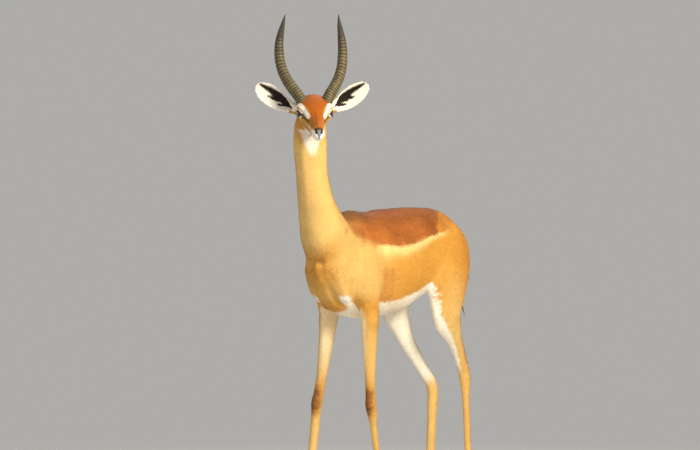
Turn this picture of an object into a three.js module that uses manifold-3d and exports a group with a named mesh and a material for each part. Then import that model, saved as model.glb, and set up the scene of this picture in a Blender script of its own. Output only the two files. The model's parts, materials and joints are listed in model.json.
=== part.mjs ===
// A gerenuk ram, life size, standing with its head turned to its left.
// Millimetres. +Z is up, the animal faces -Y and its left side is +X. Its hooves stand on z = 0.
import * as THREE from 'three';
import { mergeVertices } from 'three/addons/utils/BufferGeometryUtils.js';
import Module from 'manifold-3d';

const wasm = await Module();
wasm.setup();

// Driving sizes of the animal
const WITHERS = 950; // top of the shoulders above the ground
const CROUP = 940; // top of the hips
const STERNUM = 612; // lowest line of the chest
const RUMP_BACK = 335; // rearmost point of the buttocks, behind the middle of the stance
const BREAST_FRONT = 410; // foremost point of the chest
const CHEST_HALF = 108; // half the width over the ribs
const HIP_HALF = 102; // half the width over the hips
const NECK_HALF = 50; // half the width of the slim neck
const EYE_HEIGHT = 1256; // the eyes above the ground
const HEAD_SIDE = 72; // the eyes' midpoint, left of the body's middle plane
const HEAD_FORE = 507; // the eyes' midpoint, ahead of the middle of the stance
const HEAD_YAW = 43; // degrees that the head is turned to the left
const HEAD_PITCH = 12; // degrees that the face drops below level
const EYE_RADIUS = 17;
const EAR_HALF = 32; // half the width of an ear's blade
const HORN_RINGS = 18; // raised rings on a horn
const TAIL_TIP = 560; // height of the tuft's lowest hairs
const TAIL_LOCKS = 10; // locks in the tail's tuft
const ELBOW_HEIGHT = 640;
const KNEE_HEIGHT = 352;
const FETLOCK = 92; // height of the fetlock joints
const CORONET = 40; // height at which hide gives way to hoof
const HOOF_LENGTH = 54;
const HOOF_HALF = 9.5; // half the width of one claw
const CLEFT = 3.4; // space between the two claws of a foot
const GAP = 0.3; // air left between parts that meet

const FINISHES = {
  tawny: { color: 0xc98a45, roughness: 0.8, metalness: 0 },
  saddle: { color: 0x96552a, roughness: 0.8, metalness: 0 },
  cream: { color: 0xe9e0cc, roughness: 0.85, metalness: 0 },
  horn: { color: 0x6f6048, roughness: 0.6, metalness: 0 },
  hoof: { color: 0x2a231d, roughness: 0.45, metalness: 0 },
  eye: { color: 0x120c08, roughness: 0.08, metalness: 0 },
};

const UP = new THREE.Vector3(0, 0, 1);
const FORE = new THREE.Vector3(0, -1, 0);
const vec = (x, y, z) => new THREE.Vector3(x, y, z);
const radians = THREE.MathUtils.degToRad;
const lerp = THREE.MathUtils.lerp;
const join = (...solids) => solids.reduce((whole, next) => whole.add(next));

// A closed three.js geometry as a solid that can be joined and cut.
function toSolid(geometry) {
  const bare = geometry.clone();
  bare.deleteAttribute('normal');
  bare.deleteAttribute('uv');
  const merged = mergeVertices(bare, 1e-4);
  return new wasm.Manifold(
    new wasm.Mesh({
      numProp: 3,
      vertProperties: new Float32Array(merged.attributes.position.array),
      triVerts: new Uint32Array(merged.index.array),
    }),
  );
}

// The largest closed piece of a solid as a three.js geometry.
function toGeometry(solid) {
  const pieces = solid.decompose().sort((a, b) => b.volume() - a.volume());
  const { vertProperties, triVerts } = pieces[0].getMesh();
  const geometry = new THREE.BufferGeometry();
  geometry.setAttribute('position', new THREE.BufferAttribute(new Float32Array(vertProperties), 3));
  geometry.setIndex(new THREE.BufferAttribute(new Uint32Array(triVerts), 1));
  geometry.computeVertexNormals();
  return geometry;
}

// A solid over a row of rings with equal numbers of points, closed flat at both ends.
function skinOver(rows) {
  const sides = rows[0].length;
  const index = [];
  for (let row = 0; row < rows.length - 1; row++) {
    for (let k = 0; k < sides; k++) {
      const a = row * sides + k;
      const b = row * sides + ((k + 1) % sides);
      index.push(a, a + sides, b, b, a + sides, b + sides);
    }
  }
  const last = (rows.length - 1) * sides;
  for (let k = 1; k < sides - 1; k++) {
    index.push(0, k, k + 1);
    index.push(last, last + k + 1, last + k);
  }
  const places = rows.flat().flatMap((p) => p.toArray());
  const geometry = new THREE.BufferGeometry();
  geometry.setAttribute('position', new THREE.Float32BufferAttribute(places, 3));
  geometry.setIndex(index);
  const solid = toSolid(geometry);
  if (solid.volume() > 0) return solid;
  geometry.setIndex(index.reverse());
  return toSolid(geometry);
}

// A point of a unit section: a circle that 'square' above 2 fills out towards a rounded square.
function unitSection(angle, square) {
  const power = 2 / square;
  const c = Math.cos(angle);
  const s = Math.sin(angle);
  return [Math.sign(c) * Math.abs(c) ** power, Math.sign(s) * Math.abs(s) ** power];
}

// A solid over sections along a smooth path. A station gives the path's point 'at', the half width
// 'side', the reach 'up' and 'down' along and against the reference direction and, where the section
// isn't an ellipse, its 'square' and 'egg', the share by which its upper part is wider.
function loft(stations, { rings, sides, reference, grow = 0 }) {
  const smooth = (points) => new THREE.CatmullRomCurve3(points, false, 'catmullrom', 0.5);
  const path = new THREE.CatmullRomCurve3(stations.map((s) => s.at), false, 'centripetal');
  const reach = smooth(stations.map((s) => vec(s.side, s.up, s.down)));
  const form = smooth(stations.map((s) => vec(s.square ?? 2, s.egg ?? 0, 0)));
  const rows = [];
  for (let ring = 0; ring < rings; ring++) {
    const t = ring / (rings - 1);
    const centre = path.getPoint(t);
    const tangent = path.getTangent(t);
    const across = new THREE.Vector3().crossVectors(tangent, reference).normalize();
    const along = new THREE.Vector3().crossVectors(across, tangent).normalize();
    const sizes = reach.getPoint(t);
    const shape = form.getPoint(t);
    const row = [];
    for (let k = 0; k < sides; k++) {
      const [c, s] = unitSection((2 * Math.PI * k) / sides, Math.max(shape.x, 1.2));
      const wide = (Math.max(sizes.x, 0.8) + grow) * (1 + shape.y * s);
      const tall = Math.max(s > 0 ? sizes.y : sizes.z, 0.8) + grow;
      row.push(centre.clone().addScaledVector(across, c * wide).addScaledVector(along, s * tall));
    }
    rows.push(row);
  }
  return skinOver(rows);
}

// An ellipsoid whose axes are turned by a quaternion.
function ellipsoid(centre, radii, turn = new THREE.Quaternion(), segments = 20) {
  const geometry = new THREE.SphereGeometry(1, segments, Math.round(segments * 0.7));
  return toSolid(geometry.applyMatrix4(new THREE.Matrix4().compose(centre, turn, radii)));
}

// All that lies beyond a plane, on the side that 'normal' points to, as a box of 4 metres.
function beyond([point, normal], offset) {
  const size = 4000;
  const geometry = new THREE.BoxGeometry(size, size, size);
  geometry.translate(0, 0, size / 2 + offset);
  const turn = new THREE.Quaternion().setFromUnitVectors(UP, normal.clone().normalize());
  return toSolid(geometry.applyMatrix4(new THREE.Matrix4().compose(point, turn, vec(1, 1, 1))));
}
const behind = ([point, normal], offset) => beyond([point, normal.clone().negate()], offset);
const wedge = (planes, offset) =>
  planes.map((plane) => beyond(plane, offset)).reduce((space, next) => space.intersect(next));

// Trunk, from the rump to the breast
const trunkKeys = [
  // back, top, middle, bottom, half width, squareness
  [RUMP_BACK, 846, 795, 748, 22, 2],
  [RUMP_BACK - 15, 868, 795, 712, 48, 2.05],
  [RUMP_BACK - 60, 896, 796, 694, 74, 2.1],
  [205, CROUP - 6, 795, 684, HIP_HALF - 8, 2.15],
  [125, CROUP + 3, 790, 676, HIP_HALF - 6, 2.2],
  [45, CROUP + 7, 782, 652, 95, 2.25],
  [-45, CROUP + 6, 768, 622, CHEST_HALF - 2, 2.2],
  [-135, WITHERS - 8, 762, STERNUM, CHEST_HALF - 1, 2.15],
  [-210, WITHERS - 5, 768, STERNUM, 99, 2.05],
  [-275, WITHERS, 780, 632, 90, 2.05],
  [-335, WITHERS - 50, 788, 674, 76, 2.1],
  [40 - BREAST_FRONT, WITHERS - 112, 788, 718, 50, 2],
  [20 - BREAST_FRONT, 812, 788, 758, 22, 2],
];
const trunkStations = trunkKeys.map(([back, top, middle, bottom, half, square]) => ({
  at: vec(0, back, middle),
  side: half,
  up: top - middle,
  down: middle - bottom,
  square,
  egg: -0.06,
}));
const trunk = (grow) => loft(trunkStations, { rings: 26, sides: 24, reference: UP, grow });

// Neck, from deep in the breast up to the back of the head
const neckKeys = [
  // sideways, back, height, half width, reach forward, reach backward
  [0, -240, 658, 52, 50, 40],
  [0, -276, 706, 78, 88, 60],
  [0, -304, 766, 86, BREAST_FRONT - 304, 74],
  [0, -322, 830, 84, BREAST_FRONT - 314, 84],
  [0, -370, 890, 71, 84, 84],
  [0, -402, 950, 58, 61, 76],
  [0, -420, 1020, 51, 56, 61],
  [3, -434, 1090, NECK_HALF - 1.5, 56, 54],
  [6, -444, 1160, NECK_HALF + 1, 58, 55],
  [13, -452, 1225, NECK_HALF - 3, 54, 50],
  [24, -460, 1262, 34, 34, 34],
];
const neckStations = neckKeys.map(([x, y, z, side, up, down]) => ({ at: vec(x, y, z), side, up, down }));
const neckTube = (grow) => loft(neckStations, { rings: 24, sides: 20, reference: FORE, grow });

// The head's own frame: x is forward to the nose, y is to its left, z is up, its origin between the eyes.
const headTurned = new THREE.Matrix4()
  .makeTranslation(HEAD_SIDE, -HEAD_FORE, EYE_HEIGHT)
  .multiply(new THREE.Matrix4().makeRotationZ(radians(HEAD_YAW - 90)));
const headFrame = headTurned.clone().multiply(new THREE.Matrix4().makeRotationY(radians(HEAD_PITCH)));
const headTurn = new THREE.Quaternion().setFromRotationMatrix(headFrame);
const inHead = (forward, left, up) => vec(forward, left, up).applyMatrix4(headFrame);
const headDirection = (forward, left, up) => vec(forward, left, up).applyQuaternion(headTurn);
const turnedInHead = (x, y, z, order = 'XYZ') =>
  headTurn.clone().multiply(
    new THREE.Quaternion().setFromEuler(new THREE.Euler(radians(x), radians(y), radians(z), order)),
  );

const headKeys = [
  // forward, top, middle, bottom, half width, egg
  [134, -25, -35, -46, 8, 0],
  [127, -17, -35, -54, 16, 0],
  [112, -10, -34, -60, 20.5, -0.02],
  [90, -3, -32, -61, 21.5, 0],
  [62, 7, -26, -63, 25, 0.08],
  [36, 19, -18, -67, 33, 0.12],
  [12, 32, -6, -73, 43, 0.18],
  [-14, 42, 2, -79, 49, 0.2],
  [-42, 48, 4, -80, 49, 0.16],
  [-68, 44, -2, -73, 44, 0.1],
  [-92, 28, -8, -58, 35, 0],
  [-110, 6, -12, -34, 18, 0],
];
const headStations = headKeys.map(([forward, top, middle, bottom, half, egg]) => ({
  at: inHead(forward, 0, middle),
  side: half,
  up: top - middle,
  down: middle - bottom,
  square: 2.15,
  egg,
}));
const skull = (grow) =>
  loft(headStations, { rings: 24, sides: 20, reference: headDirection(0, 0, 1), grow });

// Eyes, their lids and the brows over them
const EYE = { forward: 2, side: 38, up: 2, outward: 66, tilt: 10 };
const LID = 2.6; // how far the lids stand proud of the eye
const LID_OPENING = { deep: 12, long: 13.5, high: 9.5 };
const BROW = { forward: -8, side: 41, up: 15, length: 27, width: 17, height: 12 };
const eyeTurn = (side) => turnedInHead(-EYE.tilt * side, 0, EYE.outward * side, 'ZYX');
const eyeCentre = (side) => inHead(EYE.forward, side * EYE.side, EYE.up);
const eyeBall = (side, grow) =>
  ellipsoid(eyeCentre(side), vec(1, 1, 1).multiplyScalar(EYE_RADIUS + grow), eyeTurn(side), 14);

function lidOpening(side) {
  const front = vec(EYE_RADIUS, 0, 0).applyQuaternion(eyeTurn(side)).add(eyeCentre(side));
  return ellipsoid(front, vec(LID_OPENING.deep, LID_OPENING.long, LID_OPENING.high), eyeTurn(side), 12);
}
const brow = (side, grow) =>
  ellipsoid(
    inHead(BROW.forward, side * BROW.side, BROW.up),
    vec(BROW.length + grow, BROW.width + grow, BROW.height + grow),
    headTurn,
    10,
  );

// Nostrils and mouth
const NOSTRIL = { forward: 130, side: 9.5, up: -27, length: 6.5, width: 2.2, height: 4.2 };
const MOUTH = { front: 140, corner: 78, up: -45, half: 1.3 };
const nostril = (side) =>
  ellipsoid(
    inHead(NOSTRIL.forward, side * NOSTRIL.side, NOSTRIL.up),
    vec(NOSTRIL.length, NOSTRIL.width, NOSTRIL.height),
    turnedInHead(side * 25, 25, -side * 30),
    8,
  );

function mouthLine() {
  const slit = ellipsoid(
    inHead(MOUTH.front, 0, MOUTH.up),
    vec(MOUTH.front - MOUTH.corner, 60, MOUTH.half),
    headTurn,
    14,
  );
  const jaws = ellipsoid(inHead(100, 0, MOUTH.up - 1), vec(34, 17, 14), headTurn, 12);
  return slit.subtract(jaws);
}

const headForm = (grow) =>
  join(skull(grow), brow(1, grow), brow(-1, grow), eyeBall(1, LID + grow), eyeBall(-1, LID + grow));

function headSolid() {
  let head = headForm(0);
  for (const side of [-1, 1]) {
    head = head.subtract(eyeBall(side, GAP)).subtract(lidOpening(side)).subtract(nostril(side));
  }
  return head.subtract(mouthLine());
}

// Ears: a leaf-shaped blade on a rounded root, hollowed in front
const EAR_ROOT = { forward: -58, side: 42, up: -6 };
const EAR_TIP = { forward: -98, side: 172, up: 68 };
const EAR_BOW = 16; // how far the blade bows backward at its middle
const EAR_SAG = 10; // how far its middle hangs below the line from root to tip
const earBlade = [
  // share of the length, half width, thickness ahead, thickness behind
  [0, 17, 15, 15],
  [0.14, 17.5, 16, 15],
  [0.28, 22, 14, 16],
  [0.44, EAR_HALF - 3.5, 11, 15],
  [0.6, EAR_HALF, 9, 13],
  [0.78, EAR_HALF * 0.95, 7, 10],
  [0.92, EAR_HALF * 0.64, 5, 7],
  [1, 6, 2.5, 3],
];
const earCup = [
  // share of the length, half width, depth
  [0.2, 7, 16],
  [0.36, 16.5, 20],
  [0.5, 25.5, 21],
  [0.65, 28, 19],
  [0.8, 25.5, 16],
  [0.93, 14, 12],
];

function earSolid(side) {
  const root = inHead(EAR_ROOT.forward, side * EAR_ROOT.side, EAR_ROOT.up);
  const tip = inHead(EAR_TIP.forward, side * EAR_TIP.side, EAR_TIP.up);
  const face = headDirection(0.93, side * 0.12, 0.12);
  const along = (share, ahead) => {
    const middle = Math.sin(Math.PI * share);
    const place = root.clone().lerp(tip, share);
    place.addScaledVector(headDirection(0, 0, 1), -EAR_SAG * middle);
    return place.addScaledVector(face, ahead - EAR_BOW * middle);
  };
  const blade = loft(
    earBlade.map(([share, side, up, down]) => ({ at: along(share, 0), side, up, down })),
    { rings: 14, sides: 16, reference: face },
  );
  const cup = loft(
    earCup.map(([share, half, depth]) => ({ at: along(share, 13), side: half, up: 22, down: depth })),
    { rings: 10, sides: 16, reference: face },
  );
  return blade.subtract(cup);
}

// Horns: ringed below, smooth at the tip, bent back, out and up again
const hornKeys = [
  // forward, left and up from between the eyes, in the level of the ground, and radius
  [-24, 33, 24, 19],
  [-32, 45, 50, 19.5],
  [-50, 63, 76, 19],
  [-76, 80, 104, 18.6],
  [-102, 92.5, 138, 18.2],
  [-122, 97.5, 174, 17.4],
  [-130, 97, 210, 15.6],
  [-126, 92.5, 242, 12.4],
  [-114, 87, 270, 8],
  [-96, 82, 300, 1.6],
];
const RINGED = { from: 0.1, to: 0.74 }; // share of a horn's length that carries rings
const HORN_SIDES = 10;
const HORN_OVAL = { across: 0.84, along: 1.1 }; // a horn is deeper from front to back than it is wide

function hornSolid(side) {
  const path = new THREE.CatmullRomCurve3(
    hornKeys.map(([forward, left, up]) => vec(forward, side * left, up).applyMatrix4(headTurned)),
    false,
    'centripetal',
  );
  const radius = new THREE.CatmullRomCurve3(
    hornKeys.map(([, , , r]) => vec(r, 0, 0)),
    false,
    'catmullrom',
    0.5,
  );
  const steps = [[0, 0]];
  const pitch = (RINGED.to - RINGED.from) / HORN_RINGS;
  for (let i = 0; i < HORN_RINGS; i++) {
    const start = RINGED.from + pitch * i;
    const fade = 1 - 0.55 * (i / HORN_RINGS) ** 2;
    steps.push([start + pitch * 0.06, -1.1 * fade]);
    steps.push([start + pitch * 0.4, 1.7 * fade]);
    steps.push([start + pitch * 0.78, 1.2 * fade]);
  }
  for (const share of [0.76, 0.82, 0.88, 0.93, 0.97, 1]) steps.push([share, 0]);
  const rows = steps.map(([share, bump]) => {
    const tangent = path.getTangent(share);
    const across = new THREE.Vector3().crossVectors(tangent, headDirection(1, 0, 0)).normalize();
    const along = new THREE.Vector3().crossVectors(across, tangent).normalize();
    const r = radius.getPoint(share).x + bump;
    return Array.from({ length: HORN_SIDES }, (_, k) => {
      const angle = (2 * Math.PI * k) / HORN_SIDES;
      return path
        .getPoint(share)
        .addScaledVector(across, Math.cos(angle) * r * HORN_OVAL.across)
        .addScaledVector(along, Math.sin(angle) * r * HORN_OVAL.along);
    });
  });
  return skinOver(rows);
}

// The stance: where each leg's joints stand. A larger second number is further back.
const stances = {
  front_right: {
    side: -1,
    elbow: [-75, -240],
    knee: [-95, -276],
    fetlock: [-106, -304],
    bone: 1.22,
  },
  front_left: { side: 1, elbow: [80, -240], knee: [90, -245], fetlock: [99, -209], bone: 0.97 },
  hind_right: {
    side: -1,
    stifle: [-72, 106, 614],
    hock: [-48, 263, 378],
    fetlock: [-60, 262],
    bone: 1.25,
    web: 16,
    bow: 16,
  },
  hind_left: {
    side: 1,
    stifle: [74, 184, 614],
    hock: [50, 298, 412],
    fetlock: [63, 303],
    bone: 0.98,
    web: 36,
    bow: 3,
  },
};
const LEG_LOFT = { rings: 32, sides: 10, reference: FORE };

// The fetlock, pastern and coronet below a cannon bone.
function footStations([x, y]) {
  return [
    { at: vec(x, y, FETLOCK), side: 16, up: 17, down: 21 },
    { at: vec(x, y - 14, FETLOCK - 26), side: 15, up: 15, down: 18 },
    { at: vec(x, y - 26, CORONET + 2), side: 18, up: 19, down: 18 },
    { at: vec(x, y - 33, CORONET - 22), side: 18, up: 20, down: 18 },
  ];
}

function frontLeg({ side, elbow, knee, fetlock, bone }, grow) {
  const arm = (share) =>
    vec(
      lerp(elbow[0], knee[0], share * share),
      lerp(elbow[1], knee[1], share),
      lerp(ELBOW_HEIGHT, KNEE_HEIGHT, share),
    );
  const cannon = (share) =>
    vec(
      lerp(knee[0], fetlock[0], share),
      lerp(knee[1], fetlock[1], share),
      lerp(KNEE_HEIGHT, FETLOCK, share),
    );
  const stations = [
    { at: vec(26 * side, -200, 905), side: 20, up: 34, down: 40 },
    { at: vec(52 * side, -220, 850), side: 30, up: 56, down: 58 },
    { at: vec(65 * side, -244, 780), side: 38, up: 70, down: 70 },
    { at: vec(71 * side, -252, 715), side: 36, up: 58, down: 64 },
    { at: vec(75 * side, -247, 665), side: 31, up: 42, down: 50 },
    { at: arm(0.06), side: 28, up: 34, down: 40 },
    { at: arm(0.25), side: 24, up: 30, down: 31 },
    { at: arm(0.48), side: 20, up: 25, down: 25 },
    { at: arm(0.72), side: 16.5, up: 19, down: 19 },
    { at: arm(0.9), side: 16.5, up: 19, down: 19 },
    { at: cannon(0), side: 18, up: 21, down: 18 },
    { at: cannon(0.12), side: 16, up: 18, down: 17 },
    { at: cannon(0.26), side: 12.5 * bone, up: 13 * bone, down: 15 * bone },
    { at: cannon(0.55), side: 11.5 * bone, up: 12 * bone, down: 14 * bone },
    { at: cannon(0.84), side: 12.5, up: 13, down: 16 },
    ...footStations(fetlock),
  ];
  return loft(stations, { ...LEG_LOFT, grow });
}

// The web is how far the fold of skin at the flank is drawn forward where the leg is set back.
// The bow is how far the gaskin bows forward of the line from stifle to hock.
function hindLeg({ side, stifle, hock, fetlock, bone, web, bow }, grow) {
  const gaskin = (share) =>
    vec(
      lerp(stifle[0], hock[0], share),
      lerp(stifle[1], hock[1], share) - bow * Math.sin(Math.PI * share),
      lerp(stifle[2], hock[2], share),
    );
  const cannon = (share) =>
    vec(
      lerp(hock[0], fetlock[0], share),
      lerp(hock[1], fetlock[1], share),
      lerp(hock[2], FETLOCK, share),
    );
  const stations = [
    { at: vec(26 * side, 178, 905), side: 18, up: 40, down: 44 },
    { at: vec(50 * side, 188, 858), side: 34, up: 78, down: 76 },
    { at: vec(61 * side, 198, 800), side: 40, up: 100, down: 98 },
    { at: vec(69 * side, lerp(194, stifle[1], 0.5), 735), side: 40, up: 96 + web * 0.5, down: 92 },
    { at: vec(74 * side, lerp(188, stifle[1], 0.85), 675), side: 37, up: 68 + web, down: 70 },
    { at: gaskin(0), side: 32, up: 46 + web, down: 48 },
    { at: gaskin(0.18), side: 26, up: 38 + web * 0.75, down: 36 },
    { at: gaskin(0.38), side: 21.5, up: 34 + web * 0.2, down: 25 },
    { at: gaskin(0.56), side: 18.5, up: 28, down: 25 },
    { at: gaskin(0.8), side: 15, up: 23, down: 20 + web * 0.2 },
    { at: gaskin(0.94), side: 15.5, up: 23, down: 25 },
    { at: cannon(0.05), side: 16.5, up: 22, down: 22 },
    { at: cannon(0.18), side: 13 * bone, up: 15 * bone, down: 17 * bone },
    { at: cannon(0.42), side: 12 * bone, up: 13.5 * bone, down: 15 * bone },
    { at: cannon(0.78), side: 12 * bone, up: 13.5 * bone, down: 15 * bone },
    ...footStations(fetlock),
  ];
  return loft(stations, { ...LEG_LOFT, grow });
}
const leg = (stance, grow) => (stance.stifle ? hindLeg(stance, grow) : frontLeg(stance, grow));

// Where hide gives way to hoof: a plane that is higher at the toe than at the heel.
const coronetPlane = ([x, y]) => [vec(x, y - 26, CORONET), vec(0, 0.3, 1)];

// One claw: upright sections from a flat sole to the coronet, pointed in front.
function claw([footX, footY], which) {
  const rows = [
    // height, how far the toe reaches, how far the heel reaches, share of the width
    [0, HOOF_LENGTH * 0.62, HOOF_LENGTH * 0.38, 1],
    [5, HOOF_LENGTH * 0.62, HOOF_LENGTH * 0.39, 1.04],
    [20, HOOF_LENGTH * 0.47, HOOF_LENGTH * 0.37, 1.02],
    [CORONET + 12, HOOF_LENGTH * 0.28, HOOF_LENGTH * 0.34, 0.88],
  ];
  const sides = 12;
  const middle = footX + which * (CLEFT / 2 + HOOF_HALF);
  const solid = skinOver(
    rows.map(([height, toe, heel, share]) =>
      Array.from({ length: sides }, (_, k) => {
        const [c, s] = unitSection((2 * Math.PI * k) / sides, 2.5);
        const taper = s > 0 ? s * s : 0;
        const half = HOOF_HALF * share * (1 - 0.45 * taper);
        const x = middle + c * half - which * HOOF_HALF * 0.35 * taper;
        return vec(x, footY - 26 - s * (s > 0 ? toe : heel), height);
      }),
    ),
  );
  return solid.intersect(behind(coronetPlane([footX, footY]), GAP / 2));
}

// Dew claw: a small blunt cone behind the fetlock.
function dewClaw([footX, footY], which) {
  const keys = [
    { at: vec(footX + which * 7, footY + 8, FETLOCK - 12), side: 5.5, up: 6, down: 6 },
    { at: vec(footX + which * 9, footY + 20, FETLOCK - 20), side: 5.5, up: 5.5, down: 5.5 },
    { at: vec(footX + which * 9.5, footY + 24, FETLOCK - 32), side: 3, up: 3, down: 3 },
  ];
  return loft(keys, { rings: 5, sides: 8, reference: FORE });
}

// Tail: a thin dock down the buttocks, with a tuft of flat, tapered locks that overlap
const dockKeys = [
  // back, height, half width, thickness ahead, thickness behind
  [304, 858, 17, 13, 13],
  [325, 850, 16, 11, 12],
  [341, 822, 14, 9, 10],
  [348, 780, 11.5, 8, 8],
  [340, 735, 9.5, 7, 7],
  [326, 690, 8.5, 6.5, 6.5],
  [315, 655, 6, 5, 5],
];

function tailSolid() {
  const dock = loft(
    dockKeys.map(([y, z, side, ahead, rear]) => ({ at: vec(0, y, z), side, up: rear, down: ahead })),
    { rings: 14, sides: 10, reference: vec(0, 1, 0.2) },
  );
  let tail = dock;
  for (let i = 0; i < TAIL_LOCKS; i++) {
    const turn = i * 2.4; // successive locks stand 137 degrees apart round the dock
    const rise = i / (TAIL_LOCKS - 1);
    const out = vec(Math.cos(turn), Math.sin(turn), 0);
    const root = vec(0, lerp(319, 342, rise), lerp(668, 745, rise));
    const low = lerp(TAIL_TIP, TAIL_TIP + 92, rise * rise) + 7 * Math.sin(5 * i);
    const tip = vec(out.x * 9, 302 + out.y * 4, low);
    const belly = root.clone().lerp(tip, 0.45).addScaledVector(out, 10 - 2 * rise);
    const shoulder = root.clone().lerp(tip, 0.12).addScaledVector(out, 6);
    const keys = [
      { at: root, side: 4, up: 2.4, down: 2.4 },
      { at: shoulder, side: 6.5, up: 2.6, down: 2.6 },
      { at: belly, side: 7, up: 2.4, down: 2.4 },
      { at: tip, side: 1, up: 0.8, down: 0.8 },
    ];
    tail = tail.add(loft(keys, { rings: 6, sides: 6, reference: out }));
  }
  return tail;
}

// The body is shaped whole and then parted where a person would name its parts
const BELLY_CLEAR = { fore: 606, hind: 632 }; // below these heights only legs are left of the body
const NECK_TOP = [inHead(-60, 0, -86), headDirection(0.6, 0, 0.8)];
const NECK_FOOT = [vec(0, -345, 905), vec(0, -0.62, 0.78)];

function legSpace(name, offset) {
  const { side } = stances[name];
  const hind = name.startsWith('hind');
  const own = [vec(0, 0, 0), vec(side, 0, 0)];
  const groin = hind
    ? [vec(34 * side, 190, 690), vec(0.8 * side, 0, -0.52)]
    : [vec(46 * side, -250, 650), vec(0.85 * side, 0, -0.5)];
  const bounds = hind
    ? [[vec(0, 45, 660), vec(0, 0.95, -0.3)]]
    : [
        [vec(0, -338, 700), vec(0, 1, 0)],
        [vec(0, -178, 700), vec(0, -1, 0)],
      ];
  const half = [vec(0, 0, 0), vec(0, hind ? 1 : -1, 0)];
  const low = [vec(0, 0, hind ? BELLY_CLEAR.hind : BELLY_CLEAR.fore), vec(0, 0, -1)];
  return wedge([own, groin, ...bounds], offset).add(wedge([own, half, low], offset));
}

const group = new THREE.Group();
function addNode(name, solid, finish) {
  const mesh = new THREE.Mesh(toGeometry(solid), new THREE.MeshStandardMaterial(FINISHES[finish]));
  mesh.name = name;
  group.add(mesh);
}

const flesh = (grow) =>
  join(trunk(grow), neckTube(grow), ...Object.values(stances).map((stance) => leg(stance, grow)));
const body = flesh(0).add(headSolid());
const clearance = flesh(GAP).add(headForm(GAP));

let torso = body.intersect(behind(NECK_FOOT, GAP / 2));
for (const name of Object.keys(stances)) torso = torso.subtract(legSpace(name, -GAP / 2));
addNode('torso', torso, 'saddle');
addNode('neck', body.intersect(beyond(NECK_FOOT, GAP / 2)).intersect(behind(NECK_TOP, GAP / 2)), 'tawny');
addNode('head', body.intersect(beyond(NECK_TOP, GAP / 2)), 'tawny');
addNode('tail', tailSolid().subtract(clearance), 'saddle');

for (const side of [-1, 1]) {
  const word = side > 0 ? 'left' : 'right';
  addNode(`eye_${word}`, eyeBall(side, 0), 'eye');
  addNode(`ear_${word}`, earSolid(side).subtract(clearance), 'cream');
  addNode(`horn_${word}`, hornSolid(side).subtract(clearance), 'horn');
}

for (const [name, { fetlock }] of Object.entries(stances)) {
  const limb = body.intersect(legSpace(name, GAP / 2)).intersect(beyond(coronetPlane(fetlock), GAP / 2));
  addNode(`leg_${name}`, limb, 'tawny');
  for (const which of [-1, 1]) {
    const word = which > 0 ? 'left' : 'right';
    addNode(`hoof_${name}_${word}`, claw(fetlock, which), 'hoof');
    addNode(`dewclaw_${name}_${word}`, dewClaw(fetlock, which).subtract(clearance), 'hoof');
  }
}

// The origin is set on the ground, below the middle of the whole animal
const box = new THREE.Box3().setFromObject(group);
const middle = box.getCenter(vec(0, 0, 0));
group.position.set(-middle.x, -middle.y, -box.min.z);

export default group;
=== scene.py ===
"""Looks for a still, life-size gerenuk ram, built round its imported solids.

Sizes inside the script are millimetres in the body's own frame: the animal faces -Y, its left side
is +X and its soles stand on z = 0. to_frame turns them into the row frame, in metres.
"""

import json
import math
from functools import partial

import bmesh
import bpy
import numpy as np
from bpy.props import FloatProperty, FloatVectorProperty, IntProperty, PointerProperty
from mathutils import Matrix, Vector

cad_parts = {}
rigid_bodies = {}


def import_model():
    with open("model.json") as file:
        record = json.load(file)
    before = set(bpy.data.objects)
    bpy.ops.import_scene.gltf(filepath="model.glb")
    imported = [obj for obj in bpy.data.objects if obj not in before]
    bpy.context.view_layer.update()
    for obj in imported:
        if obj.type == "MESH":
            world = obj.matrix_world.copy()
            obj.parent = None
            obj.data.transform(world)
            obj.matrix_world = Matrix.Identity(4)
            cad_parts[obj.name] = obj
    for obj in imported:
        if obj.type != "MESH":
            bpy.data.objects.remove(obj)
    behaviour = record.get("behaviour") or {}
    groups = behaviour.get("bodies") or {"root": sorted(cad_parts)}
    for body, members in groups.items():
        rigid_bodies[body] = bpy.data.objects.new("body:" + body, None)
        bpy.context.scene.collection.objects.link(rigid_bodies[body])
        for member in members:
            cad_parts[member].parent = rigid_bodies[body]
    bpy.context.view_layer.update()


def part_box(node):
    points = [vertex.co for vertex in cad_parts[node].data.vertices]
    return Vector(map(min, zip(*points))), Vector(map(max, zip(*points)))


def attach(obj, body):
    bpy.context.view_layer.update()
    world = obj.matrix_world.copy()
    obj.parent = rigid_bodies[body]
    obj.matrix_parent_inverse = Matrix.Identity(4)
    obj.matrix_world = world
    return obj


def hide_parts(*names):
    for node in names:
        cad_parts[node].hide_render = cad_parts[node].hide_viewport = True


bl_info = {
    "name": "Gerenuk ram",
    "version": (1, 0, 0),
    "blender": (4, 5, 0),
    "location": "3D View > Sidebar > Gerenuk",
    "description": "Builds the hide, coat, eyes, horns and hooves of a life-size gerenuk ram",
    "category": "Object",
}

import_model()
BODY = "root"
SIDES = (("right", -1), ("left", 1))
UP, FORE = np.array((0.0, 0.0, 1.0)), np.array((0.0, -1.0, 0.0))


def about(axis, degrees):
    """The matrix of a turn about one axis."""
    return np.array(Matrix.Rotation(math.radians(degrees), 3, axis))


# The head's frame, forward to the nose, left and up, starts between the eyes
HEAD_AT = np.array((72.0, -507.0, 1256.0))
LEVEL_HEAD = about("Z", 43 - 90)
HEAD = LEVEL_HEAD @ about("Y", 12)
EYE_AT, EYE_RADIUS, EYE_OUTWARD, EYE_TILT = (2.0, 38.0, 2.0), 17.0, 66, 10
# the opening between the lids: half its length, its reach up and down, and how round it is
LID_HALF, LID_UP, LID_DOWN, LID_CURVE = 13.6, 9.2, 7.6, 0.75
# from the middle of the eye to the skin on the lids and to the skin hidden inside the ball
LID_RADIUS, UNDER_BALL = 19.2, 15.4


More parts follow.
